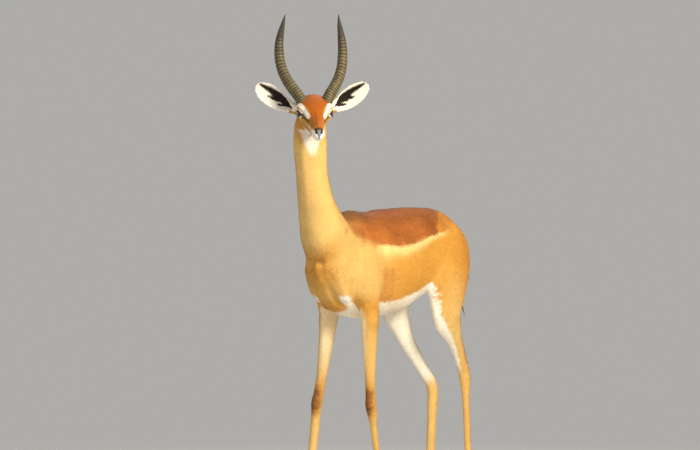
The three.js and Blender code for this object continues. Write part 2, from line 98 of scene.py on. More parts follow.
def in_head(points):
    return HEAD_AT + np.asarray(points, float) @ HEAD.T


def to_head(points):
    return (points - HEAD_AT) @ HEAD


def eye_frame(side):
    """The middle of an eye and the matrix of its axes: out along the gaze, left and up."""
    place = in_head((EYE_AT[0], side * EYE_AT[1], EYE_AT[2]))
    return place, HEAD @ about("Z", EYE_OUTWARD * side) @ about("X", -EYE_TILT * side)


EYE_BOXES = [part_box(f"eye_{word}") for word, _ in SIDES]
EYES_MIDDLE = np.mean([np.array(corner) for box in EYE_BOXES for corner in box], axis=0)
SHIFT = EYES_MIDDLE * 1000 - in_head((EYE_AT[0], 0, EYE_AT[2]))


def to_frame(points):
    """Body-frame millimetres as metres in the row frame."""
    return (np.asarray(points, float) + SHIFT) * 0.001


def smooth(value, low, high):
    """0 below low, 1 above high, with an even rise between; low above high turns it round."""
    t = np.clip((np.asarray(value, float) - low) / (high - low), 0, 1)
    return t * t * (3 - 2 * t)


def unit(vectors):
    vectors = np.asarray(vectors, float)
    return vectors / np.maximum(np.linalg.norm(vectors, axis=-1, keepdims=True), 1e-9)


def ripple(points, size, seed):
    """A soft pattern from -1 to 1 whose patches are about size millimetres wide."""
    draw = np.random.default_rng(seed)
    ways = unit(draw.normal(size=(9, 3))) * (math.pi / size) * draw.uniform(0.6, 1.5, (9, 1))
    return np.sin(points @ ways.T + draw.uniform(0, 6.28, 9)).sum(1) / 4.2


def linear(text):
    """An sRGB hex colour as linear values."""
    parts = np.array([int(text[i : i + 2], 16) / 255 for i in (0, 2, 4)])
    return np.where(parts <= 0.04045, parts / 12.92, ((parts + 0.055) / 1.055) ** 2.4)


# Settings.


def colour_setting(name, description, text):
    return FloatVectorProperty(
        name=name,
        description=description,
        subtype="COLOR",
        size=3,
        min=0,
        max=1,
        default=tuple(linear(text)),
    )


def length_setting(name, description, metres, low, high):
    return FloatProperty(
        name=name, description=description, default=metres, min=low, max=high, unit="LENGTH"
    )


def angle_setting(name, description, degrees):
    angle = math.radians(degrees)
    return FloatProperty(name=name, description=description, subtype="ANGLE", default=angle)


class GerenukHide(bpy.types.PropertyGroup):
    """Colours of the hide and coat, and the depth of the coat"""

    coat_depth: length_setting(
        "Coat depth", "How far the skin of the trunk lies inside the solids", 0.0022, 0, 0.006
    )
    voxel: length_setting(
        "Voxel", "Size of the cells that join the parts into one skin", 0.0019, 0.0012, 0.006
    )
    skin_faces: IntProperty(
        name="Skin faces",
        description="Most triangles of the finished skin",
        default=188000,
        min=20000,
        max=199000,
    )
    tawny: colour_setting("Tawny", "Flanks, legs and neck", "CE943C")
    saddle: colour_setting("Saddle", "Broad band over the back", "A45E24")
    stripe: colour_setting("Stripe", "Pale line below the saddle", "ECCE86")
    white: colour_setting("White", "Belly, throat, rump and inner legs", "F6F0E2")
    rufous: colour_setting("Rufous", "Forehead and bridge of the nose", "AC5A12")
    brown: colour_setting("Dark brown", "Knees, tail tuft and ear marks", "2C1E14")


class GerenukHorn(bpy.types.PropertyGroup):
    """Sizes and colours of the horns"""

    rings: IntProperty(
        name="Rings", description="Raised rings on one horn", default=24, min=8, max=40
    )
    ring_height: length_setting(
        "Ring height", "How far the strongest rings stand up", 0.0017, 0, 0.006
    )
    # the ridge colour is partly wear and partly a painted highlight on the tops of the rings; the
    # groove colour is the dark horn with painted shade between the rings
    ridge: colour_setting("Ridge", "Worn crest of a ring", "766840")
    groove: colour_setting("Groove", "Horn between the rings", "322A1C")


class GerenukStage(bpy.types.PropertyGroup):
    """Floor, light and camera"""

    floor: colour_setting("Floor", "Plain pale floor", "DEDAD2")
    azimuth: angle_setting(
        "Azimuth", "Direction of the camera from the animal's front towards its left", 36.87
    )
    elevation: angle_setting("Elevation", "Height of the camera's line above the horizon", 3)
    lens: FloatProperty(
        name="Lens",
        description="Focal length of the camera in millimetres",
        default=496.8,
        min=50,
    )


# Shapes.


def spline(points, t, centripetal=False):
    """Places at t, from 0 to 1, on a Catmull-Rom curve through points."""
    points = np.asarray(points, float)
    last = len(points) - 1
    ends = np.vstack([2 * points[0] - points[1], points, 2 * points[-1] - points[-2]])
    spot = np.asarray(t, float) * last
    step = np.clip(spot.astype(int), 0, last - 1)
    w = (spot - step)[:, None]
    a, b, c, d = (ends[step + i] for i in range(4))
    if centripetal:
        d0, d1, d2 = (
            np.maximum(np.linalg.norm(q - p, axis=1, keepdims=True), 1e-4) ** 0.5
            for p, q in ((a, b), (b, c), (c, d))
        )
        leave = ((b - a) / d0 - (c - a) / (d0 + d1) + (c - b) / d1) * d1
        reach = ((c - b) / d1 - (d - b) / (d1 + d2) + (d - c) / d2) * d1
    else:
        leave, reach = (c - a) / 2, (d - b) / 2
    return (
        b
        + leave * w
        + (3 * (c - b) - 2 * leave - reach) * w**2
        + (2 * (b - c) + leave + reach) * w**3
    )


def path_frames(at, t, reference):
    """Points of a path, with the directions along it, across it and up from it."""
    ahead = spline(at, np.minimum(t + 1e-4, 1), True)
    behind = spline(at, np.maximum(t - 1e-4, 0), True)
    tangent = unit(ahead - behind)
    across = unit(np.cross(tangent, reference))
    return spline(at, t, True), tangent, across, unit(np.cross(across, tangent))


def sweep(stations, rings, sides, reference, grow=0.0):
    """Rings of points over sections along a path. A station is x, y, z, half width, reach up and
    down against the reference direction, squareness and the share by which its top is wider."""
    stations = np.array([tuple(s) + (2, 0)[len(s) - 6 :] for s in stations], float)
    t = np.linspace(0, 1, rings)
    centre, _, across, along = path_frames(stations[:, :3], t, reference)
    reach = np.maximum(spline(stations[:, 3:6], t), 0.8) + grow
    square, egg = spline(stations[:, 6:8], t).T
    angle = 2 * math.pi * np.arange(sides) / sides
    power = (2 / np.maximum(square, 1.2))[:, None]
    c, s = (np.sign(f(angle)) * np.abs(f(angle)) ** power for f in (np.cos, np.sin))
    wide = reach[:, :1] * (1 + egg[:, None] * s)
    tall = np.where(s > 0, reach[:, 1:2], reach[:, 2:3])
    return (
        centre[:, None]
        + across[:, None] * (c * wide)[..., None]
        + along[:, None] * (s * tall)[..., None]
    )


def globe(centre, radii, turn, count=24):
    """Rings of points on an ellipsoid, closed by a small flat at each pole."""
    lat = np.linspace(0.02, math.pi - 0.02, count)
    lon = 2 * math.pi * np.arange(count * 2) / (count * 2)
    lat = lat[:, None]
    ball = [np.sin(lat) * np.cos(lon), np.sin(lat) * np.sin(lon), np.cos(lat) + 0 * lon]
    return centre + (np.stack(ball, -1) * radii) @ turn.T


def closed_faces(rows):
    """Points and faces of a tube over rows of points, with both its ends shut."""
    rings, sides = rows.shape[:2]
    k = np.arange(sides)
    after = np.roll(k, -1)
    steps = np.arange(rings - 1)[:, None] * sides
    quads = np.stack([steps + k, steps + after, steps + sides + after, steps + sides + k], -1)
    faces = [tuple(q) for q in quads.reshape(-1, 4).tolist()]
    faces += [tuple(k[::-1].tolist()), tuple((k + (rings - 1) * sides).tolist())]
    return rows.reshape(-1, 3), faces


def joined(parts):
    """Points and faces of many closed parts in one list."""
    points, faces, start = [], [], 0
    for part_points, part_faces in parts:
        points.append(part_points)
        faces += [tuple(i + start for i in face) for face in part_faces]
        start += len(part_points)
    return np.vstack(points), faces


def new_mesh(name, points, faces):
    """A mesh in the row frame from body-frame points."""
    mesh = bpy.data.meshes.new(name)
    mesh.from_pydata(to_frame(points).tolist(), [], faces)
    mesh.validate()
    return mesh


def new_object(name, mesh):
    """An object of that name at the origin. One left from an earlier run goes first."""
    old = bpy.data.objects.get(name)
    if old is not None:
        bpy.data.objects.remove(old)
    piece = bpy.data.objects.new(name, mesh)
    bpy.context.scene.collection.objects.link(piece)
    return piece


def applied(piece):
    """The piece's evaluated mesh as its own plain mesh, without modifiers."""
    graph = bpy.context.evaluated_depsgraph_get()
    graph.update()
    mesh = bpy.data.meshes.new_from_object(piece.evaluated_get(graph), depsgraph=graph)
    piece.modifiers.clear()
    piece.data = mesh
    return mesh


def numbers(collection, key, width, kind=np.float32):
    """One property of every element as an array."""
    flat = np.zeros(len(collection) * width, kind)
    collection.foreach_get(key, flat)
    return flat.reshape(-1, width) if width > 1 else flat


def points_of(mesh):
    """The points of a mesh in body-frame millimetres."""
    return numbers(mesh.vertices, "co", 3).astype(float) * 1000 - SHIFT


def normals_of(mesh):
    return numbers(mesh.vertex_normals, "vector", 3).astype(float)


def add_attribute(mesh, name, values):
    """Sets a value at each point: a number, a vector of three or a colour of four."""
    values = np.ascontiguousarray(values, np.float32)
    kind, key = {
        1: ("FLOAT", "value"),
        3: ("FLOAT_VECTOR", "vector"),
        4: ("FLOAT_COLOR", "color"),
    }[values.size // len(values)]
    mesh.attributes.new(name, kind, "POINT").data.foreach_set(key, values.ravel())


def with_alpha(colours):
    return np.hstack([colours, np.ones((len(colours), 1))])


def finish_piece(piece, material=None, nodes=()):
    """Material, slot, body and the solids that the piece stands for."""
    if material is not None:
        piece.data.materials.clear()
        piece.data.materials.append(material)
    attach(piece, BODY)
    if nodes:
        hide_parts(*nodes)
    return piece


def finish_closed(piece, material, nodes):
    """Turns all the faces of a closed piece outwards, smooths its shading and finishes it."""
    work = bmesh.new()
    work.from_mesh(piece.data)
    bmesh.ops.recalc_face_normals(work, faces=work.faces)
    work.to_mesh(piece.data)
    work.free()
    piece.data.shade_smooth()
    finish_piece(piece, material, nodes)


# The animal's forms.

TRUNK = [
    # back, top, middle, bottom, half width, squareness
    (335, 846, 795, 748, 22, 2),
    (320, 868, 795, 712, 48, 2.05),
    (275, 896, 796, 694, 74, 2.1),
    (205, 934, 795, 684, 94, 2.15),
    (125, 943, 790, 676, 96, 2.2),
    (45, 947, 782, 652, 95, 2.25),
    (-45, 946, 768, 622, 106, 2.2),
    (-135, 942, 762, 612, 107, 2.15),
    (-210, 945, 768, 612, 99, 2.05),
    (-275, 950, 780, 632, 90, 2.05),
    (-335, 900, 788, 674, 76, 2.1),
    (-370, 838, 788, 718, 50, 2),
    (-390, 812, 788, 758, 22, 2),
]
NECK = [
    # x, y, z, half width, reach forward, reach backward
    (0, -240, 658, 52, 50, 40),
    (0, -276, 706, 78, 88, 60),
    (0, -304, 766, 86, 106, 74),
    (0, -322, 830, 84, 96, 84),
    (0, -370, 890, 71, 84, 84),
    (0, -402, 950, 58, 61, 76),
    (0, -420, 1020, 51, 56, 61),
    (3, -434, 1090, 48.5, 56, 54),
    (6, -444, 1160, 51, 58, 55),
    (13, -452, 1225, 47, 54, 50),
    (24, -460, 1262, 34, 34, 34),
]
SKULL = [
    # forward, top, middle, bottom, half width, share by which the top is wider
    (134, -25, -35, -46, 8, 0),
    (127, -17, -35, -54, 16, 0),
    (112, -10, -34, -60, 20.5, -0.02),
    (90, -3, -32, -61, 21.5, 0),
    (62, 7, -26, -63, 25, 0.08),
    (36, 19, -18, -67, 33, 0.12),
    (12, 32, -6, -73, 43, 0.18),
    (-14, 42, 2, -79, 49, 0.2),
    (-42, 48, 4, -80, 49, 0.16),
    (-68, 44, -2, -73, 44, 0.1),
    (-92, 28, -8, -58, 35, 0),
    (-110, 6, -12, -34, 18, 0),
]
EAR_ROOT, EAR_TIP, EAR_BOW, EAR_SAG = (-58.0, 42.0, -6.0), (-98.0, 172.0, 68.0), 16.0, 10.0
EAR = [
    # share of the length, half width, depth behind, how far round the blade folds, thickness
    (0, 16, 13, 178, 13),
    (0.1, 17, 14, 176, 9),
    (0.2, 19, 15, 150, 5),
    (0.32, 23, 16, 122, 4.2),
    (0.46, 28, 15, 104, 3.8),
    (0.6, 31, 13, 98, 3.6),
    (0.78, 29, 10, 94, 3.4),
    (0.92, 19.5, 7, 92, 3.2),
    (0.985, 8, 3.5, 90, 3),
]
HORN_PATH = [
    # forward, left and up from between the eyes, level with the ground, and radius
    (-24, 33, 24, 19),
    (-32, 45, 50, 19.5),
    (-50, 63, 76, 19),
    (-76, 80, 104, 18.6),
    (-102, 92.5, 138, 18.2),
    (-122, 97.5, 174, 17.4),
    (-130, 97, 210, 15.6),
    (-126, 92.5, 242, 12.4),
    (-114, 87, 270, 8),
    (-96, 82, 300, 1.6),
]
ELBOW_Z, KNEE_Z, FETLOCK_Z, CORONET_Z = 640, 352, 92, 40
STANCES = {
    "front_right": {
        "side": -1,
        "elbow": (-75, -240),
        "knee": (-95, -276),
        "foot": (-106, -304),
        "bone": 1.22,
    },
    "front_left": {
        "side": 1,
        "elbow": (80, -240),
        "knee": (90, -245),
        "foot": (99, -209),
        "bone": 0.97,
    },
    "hind_right": {
        "side": -1,
        "stifle": (-72, 106, 614),
        "hock": (-48, 263, 378),
        "foot": (-60, 262),
        "bone": 1.25,
        "web": 16,
        "bow": 16,
    },
    "hind_left": {
        "side": 1,
        "stifle": (74, 184, 614),
        "hock": (50, 298, 412),
        "foot": (63, 303),
        "bone": 0.98,
        "web": 36,
        "bow": 3,
    },
}
DOCK = [
    # back, height, half width, thickness ahead, thickness behind
    (304, 858, 17, 13, 13),
    (325, 850, 16, 11, 12),
    (341, 822, 14, 9, 10),
    (348, 780, 11.5, 8, 8),
    (340, 735, 9.5, 7, 7),
    (326, 690, 8.5, 6.5, 6.5),
    (315, 655, 6, 5, 5),
]


def between(a, b, share):
    return np.asarray(a, float) + (np.asarray(b, float) - np.asarray(a, float)) * share


def leg_joints(name):
    """The upper joint, the knee or hock and the fetlock of a leg as points."""
    stance = STANCES[name]
    fetlock = np.array((*stance["foot"], FETLOCK_Z), float)
    if "stifle" in stance:
        return np.array(stance["stifle"], float), np.array(stance["hock"], float), fetlock
    elbow = np.array((*stance["elbow"], ELBOW_Z), float)
    return elbow, np.array((*stance["knee"], KNEE_Z), float), fetlock


def leg_stations(name):
    side, bone = STANCES[name]["side"], STANCES[name]["bone"]
    upper, middle, fetlock = leg_joints(name)
    x, y = fetlock[:2]
    rows = []
    if name.startswith("front"):
        rows += [
            (26 * side, -200, 905, 20, 34, 40),
            (52 * side, -220, 850, 30, 56, 58),
            (65 * side, -244, 780, 38, 70, 70),
            (71 * side, -252, 715, 36, 58, 64),
            (75 * side, -247, 665, 31, 42, 50),
        ]
        for share, *reach in (
            (0.06, 28, 34, 40),
            (0.25, 24, 30, 31),
            (0.48, 20, 25, 25),
            (0.72, 16.5, 19, 19),
            (0.9, 16.5, 19, 19),
        ):
            place = between(upper, middle, share)
            place[0] = upper[0] + (middle[0] - upper[0]) * share**2
            rows.append((*place, *reach))
        for share, *reach in (
            (0, 18, 21, 18),
            (0.12, 16, 18, 17),
            (0.26, 12.5 * bone, 13 * bone, 15 * bone),
            (0.55, 11.5 * bone, 12 * bone, 14 * bone),
            (0.84, 12.5, 13, 16),
        ):
            rows.append((*between(middle, fetlock, share), *reach))
    else:
        web, bow = STANCES[name]["web"], STANCES[name]["bow"]
        rows += [
            (26 * side, 178, 905, 18, 40, 44),
            (50 * side, 188, 858, 34, 78, 76),
            (61 * side, 198, 800, 40, 100, 98),
            (69 * side, between(194, upper[1], 0.5), 735, 40, 96 + web * 0.5, 92),
            (74 * side, between(188, upper[1], 0.85), 675, 37, 68 + web, 70),
        ]
        for share, *reach in (
            (0, 32, 46 + web, 48),
            (0.18, 26, 38 + web * 0.75, 36),
            (0.38, 21.5, 34 + web * 0.2, 25),
            (0.56, 18.5, 28, 25),
            (0.8, 15, 23, 20 + web * 0.2),
            (0.94, 15.5, 23, 25),
        ):
            place = between(upper, middle, share)
            place[1] -= bow * math.sin(math.pi * share)
            rows.append((*place, *reach))
        for share, *reach in (
            (0.05, 16.5, 22, 22),
            (0.18, 13 * bone, 15 * bone, 17 * bone),
            (0.42, 12 * bone, 13.5 * bone, 15 * bone),
            (0.78, 12 * bone, 13.5 * bone, 15 * bone),
        ):
            rows.append((*between(middle, fetlock, share), *reach))
    rows += [
        (x, y, FETLOCK_Z, 16, 17, 21),
        (x, y - 14, FETLOCK_Z - 26, 15, 15, 18),
        (x, y - 26, CORONET_Z + 2, 18, 19, 18),
        (x, y - 33, CORONET_Z - 22, 18, 20, 18),
    ]
    return rows


def ear_axes(side):
    """Root, tip and the direction that the cup faces."""
    flip = np.array((1, side, 1))
    face = HEAD @ unit((0.93, side * 0.12, 0.12))
    return in_head(EAR_ROOT * flip), in_head(EAR_TIP * flip), face


def ear_rows(side, rings=40, half_sides=26):
    """The ear as a folded blade, with its outer face and then its inner one round each ring."""
    root, tip, face = ear_axes(side)
    share, half, deep, fold, thick = spline(EAR, np.linspace(0, 1, rings)).T
    middle = np.sin(math.pi * np.clip(share, 0, 1))[:, None]
    centre = root + (tip - root) * share[:, None]
    centre = centre - middle * (face * EAR_BOW + HEAD[:, 2] * EAR_SAG)
    tangent = unit(np.gradient(centre, axis=0))
    across = unit(np.cross(tangent, face))
    along = unit(np.cross(across, tangent))
    angle = np.linspace(-1, 1, half_sides)[None] * np.radians(fold)[:, None]
    rows = []
    for inset, order in ((0, 1), (1, -1)):
        thinner = np.minimum(thick, half * 0.8) * inset
        a = ((half - thinner)[:, None] * np.sin(angle))[:, ::order]
        f = (-np.maximum(deep - thinner, 0.4)[:, None] * np.cos(angle))[:, ::order]
        rows.append(
            centre[:, None] + across[:, None] * a[..., None] + along[:, None] * f[..., None]
        )
    return np.concatenate(rows, axis=1)


def flesh(inset):
    """Points and faces of all the flesh as overlapping closed forms, drawn in by the coat."""
    trunk = [
        (0, y, mid, half, top - mid, mid - low, square, -0.06)
        for y, top, mid, low, half, square in TRUNK
    ]
    skull = [
        (*in_head((f, 0, mid)), half, top - mid, mid - low, 2.15, egg)
        for f, top, mid, low, half, egg in SKULL
    ]
    dock = [(0, y, z, half, rear, ahead) for y, z, half, ahead, rear in DOCK]
    rows = [
        sweep(trunk, 120, 80, UP, -inset),
        sweep(NECK, 110, 64, FORE, -inset),
        sweep(skull, 110, 72, HEAD[:, 2], -inset * 0.5),
        sweep(dock, 50, 24, np.array((0, 1, 0.2)), -inset * 0.5),
    ]
    rows += [sweep(leg_stations(name), 170, 40, FORE, -inset * 0.7) for name in STANCES]
    for _, side in SIDES:
        centre, turn = eye_frame(side)
        brow = in_head((-8, side * 41, 15))
        horn_root = HEAD_AT + LEVEL_HEAD @ (-27, 36 * side, 26)
        rows += [
            globe(centre, EYE_RADIUS + 2.0, turn),
            globe(brow, (26, 16, 11.2), HEAD),
            globe(horn_root, (22, 19, 18), HEAD),
            ear_rows(side),
        ]
    return joined([closed_faces(r) for r in rows])


# Sculpting.


class Skin:
    """The skin's points in body-frame millimetres, with what is needed to shape them."""

    def __init__(self, mesh):
        self.mesh = mesh
        self.read()

    def read(self):
        self.points = points_of(self.mesh)
        self.edges = numbers(self.mesh.edges, "vertices", 2, np.int32)
        count = len(self.points)
        self.degree = np.bincount(self.edges.ravel(), minlength=count).clip(1)[:, None]
        self.measure()

    def write(self):
        flat = to_frame(self.points).astype(np.float32)
        self.mesh.vertices.foreach_set("co", flat.ravel())
        self.mesh.update()

    def measure(self):
        """Normals of the points as they stand now."""
        self.write()
        self.normals = normals_of(self.mesh)

    def average(self, values):
        """The mean of each point's neighbours."""
        a, b = self.edges.T
        total = [
            np.bincount(a, part[b], len(part)) + np.bincount(b, part[a], len(part))
            for part in values.T
        ]
        return np.stack(total, 1) / self.degree

    def relax(self, weight, rounds, share=0.5):
        """Smooths by weight."""
        weight = np.broadcast_to(np.asarray(weight, float), (len(self.points),))[:, None]
        for _ in range(rounds):
            self.points += weight * share * (self.average(self.points) - self.points)

    def press(self, path, radius, height, way=None):
        """Raises the skin along a path, or sinks it where height is below 0."""
        path = np.atleast_2d(np.asarray(path, float))
        near = np.all(
            (self.points > path.min(0) - radius) & (self.points < path.max(0) + radius), axis=1
        )
        spots = np.flatnonzero(near)
        if not len(spots):
            return
        here = self.points[spots]
        best = np.linalg.norm(here - path[0], axis=1)
        for a, b in zip(path[:-1], path[1:]):
            run = b - a
            t = np.clip((here - a) @ run / (run @ run), 0, 1)
            best = np.minimum(best, np.linalg.norm(here - a - t[:, None] * run, axis=1))
        weight = smooth(best, radius, 0)[:, None]
        push = self.normals[spots] if way is None else way
        self.points[spots] = here + push * (height * weight)


BODY_STROKES = [
    # radius, height, then the points of the stroke on the left side
    (20, -7, (14, -402, 800), (22, -390, 753), (34, -362, 690), (44, -336, 656)),  # beside the keel
    (24, 6, (46, -376, 770), (54, -356, 720), (60, -334, 680)),  # edge of the shoulder
    (46, 5, (74, -300, 752), (78, -284, 700)),  # point of the shoulder
    (40, 5, (84, -222, 745), (84, -214, 700)),  # muscle behind the upper arm
    (26, -4.5, (98, -176, 880), (104, -176, 790), (100, -176, 700)),  # fold behind the shoulder
    (20, 3, (52, -262, 930), (72, -272, 860), (80, -286, 790)),  # ridge of the shoulder blade
    (30, -3, (66, -330, 880), (76, -318, 830), (76, -330, 770)),  # hollow before the shoulder
    (70, -8, (88, 92, 800), (84, 104, 770)),  # hollow of the flank
    (30, 6, (72, 128, 906), (80, 138, 892)),  # point of the hip
    (26, -3.5, (66, 176, 900), (78, 205, 872)),  # hollow behind the hip
    (16, -3, (66, 290, 850), (80, 276, 780), (86, 262, 700)),  # split of the thigh muscles
    (34, 4, (92, 170, 740), (94, 190, 690)),  # outer muscle of the thigh
    (15, -2.5, (84, 118, 760), (78, 84, 700), (70, 70, 668)),  # fold of the flank
    (22, 3, (16, 150, 942), (22, 40, 942), (22, -100, 940)),  # long muscle beside the spine
]
NECK_STROKES = [
    (15, -3.2, (44, -462, 1190), (50, -452, 1090), (58, -440, 980), (72, -404, 890)),
    (22, 2.6, (46, -432, 1190), (50, -420, 1090), (58, -392, 980), (72, -352, 900)),
    (20, 2.2, (14, -490, 1170), (12, -488, 1060), (10, -474, 960)),
]
HEAD_STROKES = [
    (15, -2.2, (-22, 48, 12), (-40, 49, 8)),  # temple
    (8, 2.2, (22, 40, -16), (0, 48, -20), (-30, 50, -18), (-52, 46, -10)),  # cheek bone
    (14, -2.4, (34, 32, -34), (14, 40, -42)),  # hollow below the cheek bone
    (22, 2.2, (-22, 46, -46), (-34, 44, -58)),  # chewing muscle
    (13, -1.8, (84, 20, -16), (60, 24, -12)),  # hollow of the nose's side
    (8, 0.9, (104, 0, -9), (70, 0, 4), (44, 0, 16)),  # bridge of the nose
    (6.5, -2.6, (30, 33, -6), (38, 29, -9)),  # gland before the eye
    (9, 1.4, (112, 19, -40), (98, 21, -40)),  # upper lip
    (8, 1.2, (116, 10, -58), (104, 14, -60)),  # lower lip
    (10, -1.6, (74, 20, -58), (40, 26, -66)),  # hollow behind the chin
    (12, 2.2, (-52, 38, -66), (-30, 42, -74), (0, 36, -74)),  # edge of the jaw
    (6, 1.5, (131, 13, -30), (127, 15.5, -20), (119, 14.5, -13)),  # rim of the nostril
    (3.2, -6, (133, 6.5, -31), (130, 9, -25), (126, 11, -19), (120, 11.5, -14)),  # nostril
]
MOUTH_LINE = [(136, 0, -46), (131, 10, -47), (120, 17.5, -46.5), (104, 20.5, -45), (86, 21, -43)]


def sculpt_body(skin):
    for radius, height, *path in BODY_STROKES + NECK_STROKES:
        for _, side in SIDES:
            skin.press(np.array(path) * (side, 1, 1), radius, height)
    for number in range(9):
        y = -150 + 27 * number
        for _, side in SIDES:
            rib = [(86, y - 14, 880), (106, y + 6, 800), (104, y + 26, 720)]
            skin.press(np.array(rib) * (side, 1, 1), 12, 0.6 - 0.03 * number)
    skin.press([(0, 260, 915), (0, 100, 940), (0, -200, 952)], 12, 1.8)
    skin.press([(0, -392, 800), (0, -372, 720)], 22, 3)
    skin.measure()


def sculpt_legs(skin):
    for name in STANCES:
        side = STANCES[name]["side"]
        upper, joint, fetlock = leg_joints(name)
        back = np.array((0, 1, 0))
        out = np.array((side, 0, 0))
        fore = name.startswith("front")
        for way in (1, -1):
            # the hollow between bone and tendon on both sides of the cannon
            top = between(joint, fetlock, 0.2) + out * way * 12 + back * 7
            foot = between(joint, fetlock, 0.86) + out * way * 12 + back * 8
            skin.press([top, foot], 6.5, -2)
            skin.press([fetlock + out * way * 14 + (0, 10, -2)], 12, 1.6)
            if not fore:
                a = joint + out * way * 13 + (0, 6, 34)
                b = between(upper, joint, 0.66) + out * way * 13 + (0, 8, 6)
                skin.press([a, b], 11, -3.2)
        if fore:
            skin.press([joint + (0, -19, 14), joint + (0, -19, -8)], 15, 1.8)
            skin.press([joint + (0, 20, 14)], 12, 3)
            skin.press([between(upper, joint, 0.12) + out * 24 + (0, -8, 0)], 34, 3)
        else:
            skin.press([joint + (0, 26, 18)], 13, 3.5)
            skin.press([joint + out * 13 + (0, 0, -6)], 12, 1.5)
        skin.press([fetlock + (0, 17, -4)], 13, 2)
    skin.measure()


def sculpt_head(skin):
    for radius, height, *path in HEAD_STROKES:
        for _, side in SIDES:
            skin.press(in_head(np.array(path) * (1, side, 1)), radius, height)
    for _, side in SIDES:
        skin.press(in_head(np.array(MOUTH_LINE) * (1, side, 1)), 2.8, -4)
    skin.press(in_head([(137, 0, -30), (136, 0, -45)]), 2, -1.4)
    for _, side in SIDES:
        centre, turn = eye_frame(side)
        local = (skin.points - centre) @ turn
        reach = np.linalg.norm(local, axis=1)
        spots = np.flatnonzero((reach < 26) & (local[:, 0] > 3))
        local, reach = local[spots], reach[spots]
        gap = lid_gap(local)
        aim = UNDER_BALL + (LID_RADIUS - UNDER_BALL) * smooth(gap, -0.7, 0.7)
        crease = -0.9 * np.exp(-(((gap - 4.6) / 1.1) ** 2)) * (local[:, 2] > -3)
        hold = smooth(gap, 5, 1.5)
        aim = (reach + (aim - reach) * np.maximum(hold, gap < 0)) + crease
        skin.points[spots] = centre + unit(local) * aim[:, None] @ turn.T
    skin.measure()


def lid_gap(local):
    """How far outside the lids' opening a point of the eye's frame lies, in millimetres."""
    y = local[:, 1] / LID_HALF
    arch = np.clip(1 - y * y, 0, 1) ** LID_CURVE
    lid = np.where(local[:, 2] > 0, LID_UP * arch, LID_DOWN * arch)
    beside = (np.abs(local[:, 1]) - LID_HALF) * 0.9
    return np.where(np.abs(y) < 1, np.abs(local[:, 2]) - lid, np.hypot(beside, local[:, 2]))


def largest_shell(mesh):
    """Drops all but the largest closed surface of a mesh."""
    edges = numbers(mesh.edges, "vertices", 2, np.int32)
    label = np.arange(len(mesh.vertices))
    while True:
        low = np.minimum(label[edges[:, 0]], label[edges[:, 1]])
        fresh = label.copy()
        np.minimum.at(fresh, edges[:, 0], low)
        np.minimum.at(fresh, edges[:, 1], low)
        fresh = fresh[fresh]
        if np.array_equal(fresh, label):
            break
        label = fresh
    main = np.bincount(label).argmax()
    if (label == main).all():
        return mesh
    keep = np.flatnonzero(label == main)
    place = np.full(len(label), -1)
    place[keep] = np.arange(len(keep))
    corners = numbers(mesh.loops, "vertex_index", 1, np.int32)
    starts = numbers(mesh.polygons, "loop_start", 1, np.int32)
    totals = numbers(mesh.polygons, "loop_total", 1, np.int32)
    faces = [
        place[corners[s : s + n]].tolist()
        for s, n in zip(starts, totals)
        if label[corners[s]] == main
    ]
    points = numbers(mesh.vertices, "co", 3)[keep]
    fresh = bpy.data.meshes.new(mesh.name)
    fresh.from_pydata(points.tolist(), [], faces)
    return fresh


# Markings.

PARTS = ("torso", "neck", "head", "ear_right", "ear_left", "leg_front_right", "leg_front_left")
PARTS += ("leg_hind_right", "leg_hind_left", "tail")
TORSO, NECK_PART, HEAD_PART, EAR_RIGHT, EAR_LEFT, FIRST_LEG, TAIL_PART = 0, 1, 2, 3, 4, 5, 9
NECK_FOOT = (np.array((0, -345, 905)), unit((0, -0.62, 0.78)))
NECK_TOP = (in_head((-60, 0, -86)), HEAD @ np.array((0.6, 0, 0.8)))


def past(points, plane):
    """How far points lie beyond a plane."""
    return (points - plane[0]) @ plane[1]


def ear_place(points, side):
    """Share of the ear's length, height across the blade and reach ahead of the blade's middle."""
    root, tip, face = ear_axes(side)
    axis = unit(tip - root)
    length = np.linalg.norm(tip - root)
    rise = unit(np.cross(axis, face)) * -side
    face = np.cross(rise, axis) * -side
    away = points - root
    share = away @ axis / length
    middle = np.sin(math.pi * np.clip(share, 0, 1))
    away = away + middle[:, None] * HEAD[:, 2] * EAR_SAG
    return share, away @ rise, away @ face + EAR_BOW * middle


def dock_back(z):
    """Where the middle of the tail's dock lies at a height."""
    keys = np.array(DOCK)[::-1]
    return np.interp(z, keys[:, 1], keys[:, 0])


def axis_at(z, stations):
    """The x and the y of a standing form's middle line at a height."""
    keys = np.array(sorted(stations, key=lambda station: station[2]))
    return np.array([np.interp(z, keys[:, 2], keys[:, column]) for column in (0, 1)])


def near_path(points, path, radius):
    """1 on a path and 0 at radius from it, where the last number of a path's point, if it has
    four, is a share of the radius there."""
    path = np.asarray(path, float)
    wide = path[:, 3] if path.shape[1] > 3 else np.ones(len(path))
    path = path[:, :3]
    best = np.full(len(points), 9e9)
    for a, b, wa, wb in zip(path[:-1], path[1:], wide[:-1], wide[1:]):
        run = b - a
        t = np.clip((points - a) @ run / max(run @ run, 1e-9), 0, 1)
        gap = np.linalg.norm(points - a - t[:, None] * run, axis=1)
        best = np.minimum(best, gap / (radius * (wa + (wb - wa) * t)))
    return best


def leg_line(name):
    """The middle line of a leg below the body, with its half width at each point."""
    return [(x, y, z, max(side, up, down)) for x, y, z, side, up, down in leg_stations(name)[3:]]


